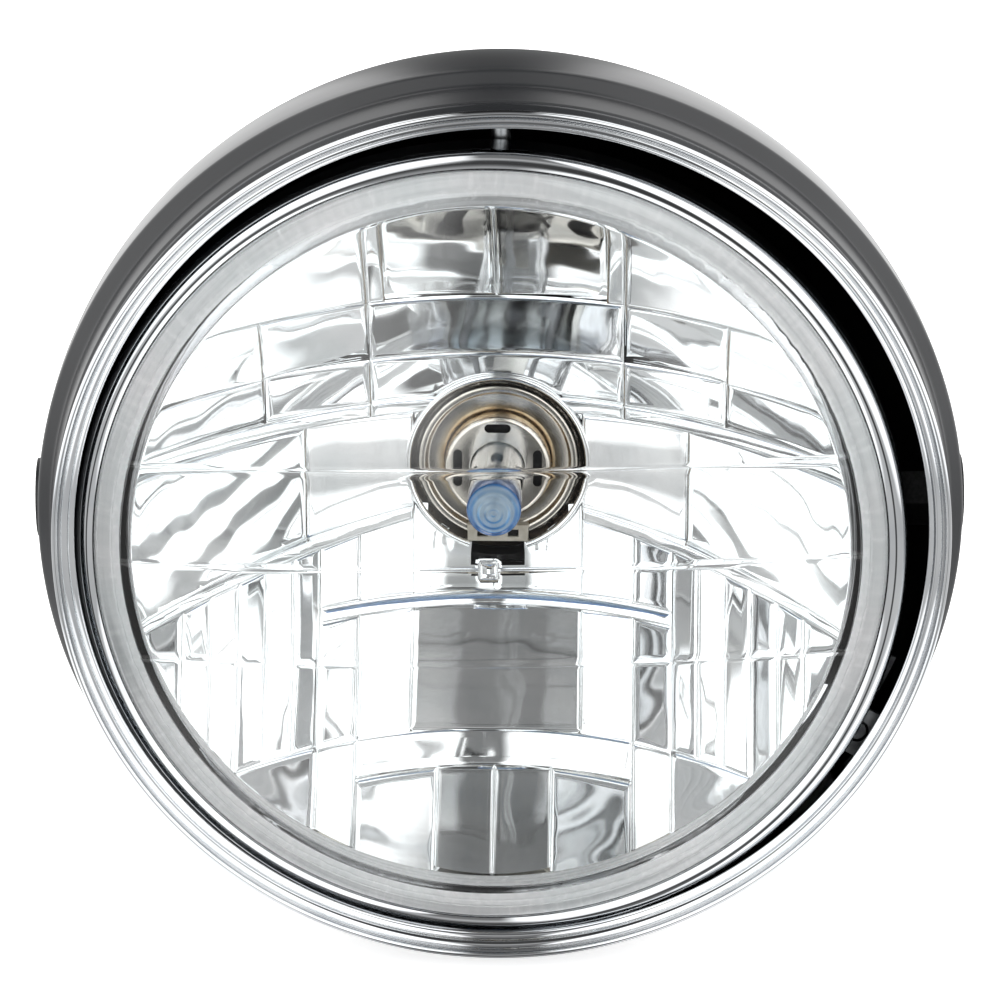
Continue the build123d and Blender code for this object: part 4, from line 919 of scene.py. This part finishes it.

# %% [markdown]
# ## Bulb base
# The base is pressed from sheet: a plate with a raised lip, a cap with three slots, and a lug below with
# two square windows. Pressing rounds every edge, and those edges carry the bright rings, so the solid is
# turned again with soft corners, and the slots and windows are cut with Booleans. The lug has a finish of
# its own. A dark disc inside and dark floors in the windows are painted shade seen through the openings.

# %% Press the base
PLATE_R, PLATE, LIP_OUT, LIP_IN, LIP_RISE = 21.9, 1.2, 19.0, 17.0, 1.7
CAP_R, CAP_RISE, CAP_WALL, CAP_HOLE_R = 12.5, 6.0, 0.9, BULB_R + 0.1
CAP_TOP, CAP_UNDER = BULB_SEAT + CAP_RISE, BULB_SEAT + CAP_RISE - CAP_WALL
base_profile = [
    (0, BULB_SEAT - PLATE), (PLATE_R, BULB_SEAT - PLATE), (PLATE_R, BULB_SEAT), (LIP_OUT, BULB_SEAT),
    (LIP_OUT, BULB_SEAT + LIP_RISE), (LIP_IN, BULB_SEAT + LIP_RISE), (LIP_IN, BULB_SEAT), (CAP_R, BULB_SEAT),
    (CAP_R, CAP_TOP), (CAP_HOLE_R, CAP_TOP), (CAP_HOLE_R, CAP_UNDER), (CAP_R - CAP_WALL, CAP_UNDER),
    (CAP_R - CAP_WALL, BULB_SEAT), (0, BULB_SEAT),
]
BASE_SIDES = 144
base_mesh = bmesh.new()
pressed = soften(base_profile, radius=1.1, steps=6, closed=False)
sweep_round(base_mesh, pressed, in_unit, BASE_SIDES, loop=False)

# %% Cut the cap's slots
SLOT_MID, SLOT_WIDE, SIDE_SLOT, TOP_SLOT, TOP_UP = (CAP_R + BULB_R) / 2, 2.1, 9.0, 6.2, 0.4
UNDERCUT, OVERCUT, CORNER_STEPS = 0.4, 0.5, 6


def oblong(mid_x, mid_z, wide, tall):
    r = min(wide, tall) / 2
    quadrants = ((1, 1), (-1, 1), (-1, -1), (1, -1))
    ends = [(mid_x + sx * (wide / 2 - r), mid_z + sz * (tall / 2 - r)) for sx, sz in quadrants]
    return [
        (x + r * math.cos(a), z + r * math.sin(a))
        for k, (x, z) in enumerate(ends)
        for a in (math.pi / 2 * (k + i / CORNER_STEPS) for i in range(CORNER_STEPS + 1))
    ]


cuts = [oblong(way * SLOT_MID, 0, SLOT_WIDE, SIDE_SLOT) for way in (-1, 1)]
cuts.append(oblong(0, SLOT_MID + TOP_UP, TOP_SLOT, SLOT_WIDE))
slots = bmesh.new()
for outline in cuts:
    plate(slots, face_on, outline, CAP_UNDER - UNDERCUT, CAP_TOP + OVERCUT)
base_data = carve(mesh_data(base_mesh), [(mesh_data(slots), "DIFFERENCE")])
stand(base_data, "pressed_base", nickel, "lens_unit", ["bulb_flange"], sharp=35)

# %% Press the lug, and set a dark disc of painted shade behind the openings
LUG_HALF, LUG_TOP, LUG_FOOT, LUG_RISE, LUG_SUNK = 7.2, -15.41, -19.41, 2.8, 0.1
LINER_RISE, DISC_SIDES = 0.9, 72
WINDOW_MID, WINDOW_HALF, WINDOW_TALL, WINDOW_DEEP = 3.6, 1.3, 0.9, 1.1
DISC_IN, DISC_OUT, DISC_TOP, DISC_FOOT = BULB_R + 0.3, 11.3, CAP_UNDER - 1.0, CAP_UNDER - 1.4
lug, windows, shade_liner = bmesh.new(), bmesh.new(), bmesh.new()
tongue = block(-LUG_HALF, LUG_HALF, LUG_TOP, LUG_FOOT)
plate(lug, face_on, tongue, BULB_SEAT - LUG_SUNK, BULB_SEAT + LUG_RISE)
# The disc under the cap and the plates on the window floors are painted shade: dark sheets where the openings
# fall into shade.
disc = [(DISC_IN, DISC_TOP), (DISC_OUT, DISC_TOP), (DISC_OUT, DISC_FOOT), (DISC_IN, DISC_FOOT)]
sweep_round(shade_liner, disc, in_unit, DISC_SIDES)
level, floor_at = (LUG_TOP + LUG_FOOT) / 2, BULB_SEAT + WINDOW_DEEP
for middle in (-WINDOW_MID, WINDOW_MID):
    square = block(middle - WINDOW_HALF, middle + WINDOW_HALF, level + WINDOW_TALL, level - WINDOW_TALL)
    plate(windows, face_on, square, floor_at, BULB_SEAT + LUG_RISE + OVERCUT)
    plate(shade_liner, face_on, square, floor_at, floor_at + LINER_RISE)
lug_data = carve(mesh_data(lug), [(mesh_data(windows), "DIFFERENCE")])
stand(lug_data, "locating_lug", tinned, "lens_unit", ["bulb_flange"])
stand(mesh_data(shade_liner), "painted_shade_disc", phosphate, "lens_unit")

# %% [markdown]
# ## Spring, screws and rolled edge
# Some details follow a path or repeat: the adjuster's spring is a wire on a helix, the reflector's edge
# round the bulb is a bead on an arc, and three screws stand in the ring's tabs. Geometry Nodes make
# each from a few named sizes. A helper gives a tree its inputs, and another runs it on an empty mesh,
# sets each input by its socket's identifier, and reads back a plain mesh.

# %% Geometry Nodes helpers


def new_tree(name, **labels_of):
    tree = bpy.data.node_groups.new(name, "GeometryNodeTree")
    tree.interface.new_socket("Geometry", in_out="INPUT", socket_type="NodeSocketGeometry")
    for kind, labels in labels_of.items():
        for label in labels:
            tree.interface.new_socket(label, in_out="INPUT", socket_type="NodeSocket" + kind)
    tree.interface.new_socket("Geometry", in_out="OUTPUT", socket_type="NodeSocketGeometry")
    return tree, add(tree, "NodeGroupInput").outputs


def bent_rod(tree, path, radius, sides):
    section = add(tree, "GeometryNodeCurvePrimitiveCircle", {"Radius": radius}, {"Resolution": sides})
    swept = {"Curve": path, "Profile Curve": section}
    return add(tree, "GeometryNodeCurveToMesh", swept, {"Fill Caps": True})


def close_tree(tree, last, material):
    real = add(tree, "GeometryNodeRealizeInstances", {"Geometry": last})
    dressed = add(tree, "GeometryNodeSetMaterial", {"Geometry": real}, {"Material": material})
    add(tree, "NodeGroupOutput", {"Geometry": dressed})


def grow(tree, sizes, points=()):
    seed_mesh = bpy.data.meshes.new(tree.name)
    seed_mesh.from_pydata([tuple(p) for p in points], [], [])
    holder = put(tree.name, seed_mesh)
    modifier = holder.modifiers.new(tree.name, "NODES")
    modifier.node_group = tree
    for item in tree.interface.items_tree:
        if item.in_out == "INPUT" and item.name in sizes:
            modifier[item.identifier] = sizes[item.name]
    data = read_back(holder)
    bpy.data.objects.remove(holder)
    return data


unit_turn = tuple(Matrix((UNIT_RIGHT, UP, UNIT_AHEAD)).transposed().to_euler())
print("unit turn:", [round(math.degrees(a), 1) for a in unit_turn])

# %% Wind the adjuster's spring
lengths = ("Turns", "Coil radius", "Wire radius", "Length")
tree, given = new_tree("wound_spring", Float=lengths, Vector=("Foot",))
coiled = {"Rotations": given["Turns"], "Height": given["Length"]}
coiled |= {"Start Radius": given["Coil radius"], "End Radius": given["Coil radius"]}
helix = add(tree, "GeometryNodeCurveSpiral", coiled, {"Resolution": 28})
coil = bent_rod(tree, helix, given["Wire radius"], sides=10)
stood_up = {"Geometry": coil, "Translation": given["Foot"]}
laid = add(tree, "GeometryNodeTransform", stood_up, {"Rotation": (-math.pi / 2, 0, 0)})
close_tree(tree, laid, wire)
low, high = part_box("adjuster_spring")
WIRE_R = 0.4 * MM
spring_x, spring_z, spring_long = (low[0] + high[0]) / 2, (low[2] + high[2]) / 2, high[1] - low[1]
spring_sizes = {
    "Turns": 6.0, "Coil radius": 3.6 * MM, "Wire radius": WIRE_R,
    "Length": spring_long - 2 * WIRE_R, "Foot": (spring_x, low[1] + WIRE_R, spring_z),
}
spring_data = grow(tree, spring_sizes)
spring = stand(spring_data, "wound_spring", wire, "housing", ["adjuster_spring"], sharp=60)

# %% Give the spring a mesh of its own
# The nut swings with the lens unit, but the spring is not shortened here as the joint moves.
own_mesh(spring)

# %% Roll the edge of the bulb hole
lengths = ("Ring radius", "Roll radius", "Gap")
tree, given = new_tree("rolled_edge", Float=lengths, Vector=("Middle", "Facing"))
start = add(tree, "ShaderNodeMath", {0: given["Gap"]}, {1: -math.pi / 2}, operation="ADD")
sweep = add(tree, "ShaderNodeMath", {0: given["Gap"]}, {1: -2.0, 2: 2 * math.pi}, operation="MULTIPLY_ADD")
bent = {"Radius": given["Ring radius"], "Start Angle": start, "Sweep Angle": sweep}
arc = add(tree, "GeometryNodeCurveArc", bent, {"Resolution": 220}, mode="RADIUS")
bead = bent_rod(tree, arc, given["Roll radius"], sides=20)
faced = {"Geometry": bead, "Translation": given["Middle"], "Rotation": given["Facing"]}
close_tree(tree, add(tree, "GeometryNodeTransform", faced), silvering)
EDGE_R, EDGE_ROLL, EDGE_PROUD, EDGE_SHORT = 21.4, 0.85, 0.25, 0.4
edge_sizes = {
    "Ring radius": EDGE_R * MM, "Roll radius": EDGE_ROLL * MM,
    "Gap": math.asin((NOTCH_HALF + EDGE_SHORT) / EDGE_R),
    "Middle": tuple(in_unit(0, bowl(EDGE_R, 0) + EDGE_PROUD, 0)), "Facing": unit_turn,
}
stand(grow(tree, edge_sizes), "rolled_edge", silvering, "lens_unit", sharp=40)

# %% Make a screw
lengths = ("Head radius", "Head height", "Shank radius", "Shank length")
tree, given = new_tree("ring_screw_set", Float=lengths, Vector=("Slot", "Facing"), Int=("Seed",))
bars = []
for radius, depth, sides, centre in (
    ("Head radius", "Head height", 40, 0.5), ("Shank radius", "Shank length", 24, -0.5),
):
    bar_size = {"Radius": given[radius], "Depth": given[depth]}
    bar = add(tree, "GeometryNodeMeshCylinder", bar_size, {"Vertices": sides})
    half = add(tree, "ShaderNodeMath", {0: given[depth]}, {1: centre}, operation="MULTIPLY")
    along = add(tree, "ShaderNodeCombineXYZ", {"Z": half})
    bars.append(add(tree, "GeometryNodeTransform", {"Geometry": bar, "Translation": along}))
slot_box = add(tree, "GeometryNodeMeshCube", {"Size": given["Slot"]})
slot_up = add(tree, "ShaderNodeCombineXYZ", {"Z": given["Head height"]})
slot_box = add(tree, "GeometryNodeTransform", {"Geometry": slot_box, "Translation": slot_up})
slotted = {"Mesh 1": bars[0], "Mesh 2": slot_box}
head = add(tree, "GeometryNodeMeshBoolean", slotted, operation="DIFFERENCE", solver="EXACT")
screw = add(tree, "GeometryNodeJoinGeometry", {"Geometry": [head, bars[1]]})

# %% Drive the ring's three screws
# Each screw ends at a turn of its own, as screws do.
at_points = {"Points": given["Geometry"], "Instance": screw, "Rotation": given["Facing"]}
stood = add(tree, "GeometryNodeInstanceOnPoints", at_points)
HALF_TURN = {"Max": (0, 0, 3.1)}
turn = add(tree, "FunctionNodeRandomValue", {"Seed": given["Seed"]}, HALF_TURN, data_type="FLOAT_VECTOR")
driven = add(tree, "GeometryNodeRotateInstances", {"Instances": stood, "Rotation": turn})
close_tree(tree, driven, zinc)
SCREW_RING = 89.2
screw_points = [
    in_unit(SCREW_RING * math.cos(a), RING_BACK, SCREW_RING * math.sin(a))
    for a in map(math.radians, TAB_BEARINGS)
]
back_turn = tuple(Matrix((UNIT_RIGHT, -UP, -UNIT_AHEAD)).transposed().to_euler())
screw_sizes = {
    "Head radius": 2.8 * MM, "Head height": 1.9 * MM, "Shank radius": 1.5 * MM, "Shank length": 2.4 * MM,
    "Slot": (3.9 * MM, 0.84 * MM, 1.9 * MM), "Facing": back_turn, "Seed": 4,
}
screw_data = grow(tree, screw_sizes, screw_points)
stand(screw_data, "ring_screw_set", zinc, "lens_unit", ["ring_screws"])

# %% [markdown]
# ## Finishes for the other solids
# The small brackets, pins and screws keep the shape of their solids, and only get their finish.

# %% Give each solid its finish
finish_of = {
    "zinc_steel": zinc, "dark_steel": phosphate, "black_rubber": rubber, "spring_steel": wire,
    "bulb_metal": nickel, "tungsten": wire, "rim_chrome": chrome, "ring_chrome": chrome,
    "lens_glass": glass, "reflector_silver": silvering, "bulb_quartz": quartz, "bucket_black": satin,
}
slot_of = {s["node"]: s["material_slot"] for s in frame["record"]["subparts"]}
for name, node in nodes.items():
    node.data.materials.clear()
    node.data.materials.append(finish_of[slot_of[name]])
print("finished solids:", len(nodes))

# %% [markdown]
# ## Studio
# Chrome shows the room more than itself. The photograph was lit by two large soft panels, left and
# right, with a narrow dim gap between them straight ahead: that gap draws the dark lines in the rim and
# the grey columns in the reflector. A dim sash crosses both panels low down, and they end short of the
# ceiling. The world paints all this by direction. The camera itself sees plain white, as in the photograph.

# %% Set up the room
scene = bpy.context.scene
scene.view_settings.view_transform = "Standard"
world = bpy.data.worlds.new("studio_room")
scene.world = world
world.use_nodes = True
world.cycles.sampling_method = "NONE"
tree = world.node_tree
tree.nodes.clear()
way = add(tree, "ShaderNodeTexCoord").outputs["Generated"]
parts = add(tree, "ShaderNodeSeparateXYZ", {"Vector": way}).outputs
height = add(tree, "ShaderNodeMapRange", {"Value": parts["Z"]}, {"From Min": -1.0, "From Max": 1.0})
print("room:", world.name)

# %% Hang the two panels
GAP_EDGE, PANEL_EDGE, PANEL_FOOT, FOOT_FADE, PANEL_LIGHT = 0.08, 0.14, -0.75, 0.25, 1.6
SMOOTH = {"interpolation_type": "SMOOTHSTEP"}
aside = add(tree, "ShaderNodeMath", {0: parts["X"]}, operation="ABSOLUTE")
gap_side = {"From Min": GAP_EDGE, "From Max": PANEL_EDGE}
sides = add(tree, "ShaderNodeMapRange", {"Value": aside}, gap_side, **SMOOTH)
foot_side = {"From Min": PANEL_FOOT - FOOT_FADE, "From Max": PANEL_FOOT}
above = add(tree, "ShaderNodeMapRange", {"Value": parts["Z"]}, foot_side, **SMOOTH)
sash_by_height = (
    (0.24, "#FFFFFF"), (0.27, "#A0A0A0"), (0.38, "#A0A0A0"), (0.41, "#FFFFFF"),
    (0.955, "#FFFFFF"), (0.985, "#484848"),
)
sash = add(tree, "ShaderNodeValToRGB", {"Fac": height}, stops=sash_by_height)
lit = add(tree, "ShaderNodeMath", {0: above, 1: sash}, operation="MULTIPLY")
panels = add(tree, "ShaderNodeMath", {0: sides, 1: lit}, operation="MULTIPLY")
print("panels:", PANEL_LIGHT)

# %% Shade the gap between them
gap_by_height = (
    (0.1, "#B4B4B4"), (0.24, "#707070"), (0.36, "#464646"), (0.5, "#505050"), (0.6, "#A0A0A0"),
    (0.67, "#D0D0D0"), (0.75, "#A0A0A0"), (0.8, "#838383"), (0.96, "#838383"), (1.0, "#383838"),
)
front_gap = add(tree, "ShaderNodeValToRGB", {"Fac": height}, stops=gap_by_height)
back_gap = add(tree, "ShaderNodeValToRGB", {"Fac": height}, stops=((0.47, "#909090"), (0.6, "#303030")))
behind = add(tree, "ShaderNodeMapRange", {"Value": parts["Y"]}, {"From Min": -0.1, "From Max": 0.1})
gap = add(tree, "ShaderNodeMix", {0: behind, 2: front_gap, 3: back_gap}, data_type="FLOAT")
light = add(tree, "ShaderNodeMath", {0: panels, 2: gap}, {1: PANEL_LIGHT}, operation="MULTIPLY_ADD")
seen = add(tree, "ShaderNodeLightPath").outputs["Is Camera Ray"]
bright = add(tree, "ShaderNodeMix", {0: seen, 2: light}, {3: 1.0}, data_type="FLOAT")
room = add(tree, "ShaderNodeBackground", {"Strength": bright}, {"Color": (1, 1, 1, 1)})
add(tree, "ShaderNodeOutputWorld", {"Surface": room})

# %% [markdown]
# ## Floor
# The lamp stands on white paper, which the polished parts don't mirror, so that they show the panels.

# %% Lay the paper
# White paper, matt: a faint fibre cloud, lit so that it reads as the photograph's white.
glow = {"Roughness": 0.9, "Emission Color": (1, 1, 1, 1), "Emission Strength": 0.6}
paper = cloudy("white_paper", 40, 2.0, "#F7F7F7", "#FDFDFD", has=glow)
PAPER_HALF, PAPER_GAP = 4.0, 0.5 * MM
floor_level = cad_box[0][2] - PAPER_GAP
sheet = block(-PAPER_HALF, PAPER_HALF, PAPER_HALF, -PAPER_HALF)
floor_data = bpy.data.meshes.new("paper_floor")
floor_data.from_pydata([(x, y, floor_level) for x, y in sheet], [], [(0, 1, 2, 3)])
floor_data.materials.append(paper)
floor = put("paper_floor", floor_data)
floor.visible_glossy = False
floor.visible_transmission = False
print("floor at", round(floor_level, 4))

# %% Finish
print("scene built")
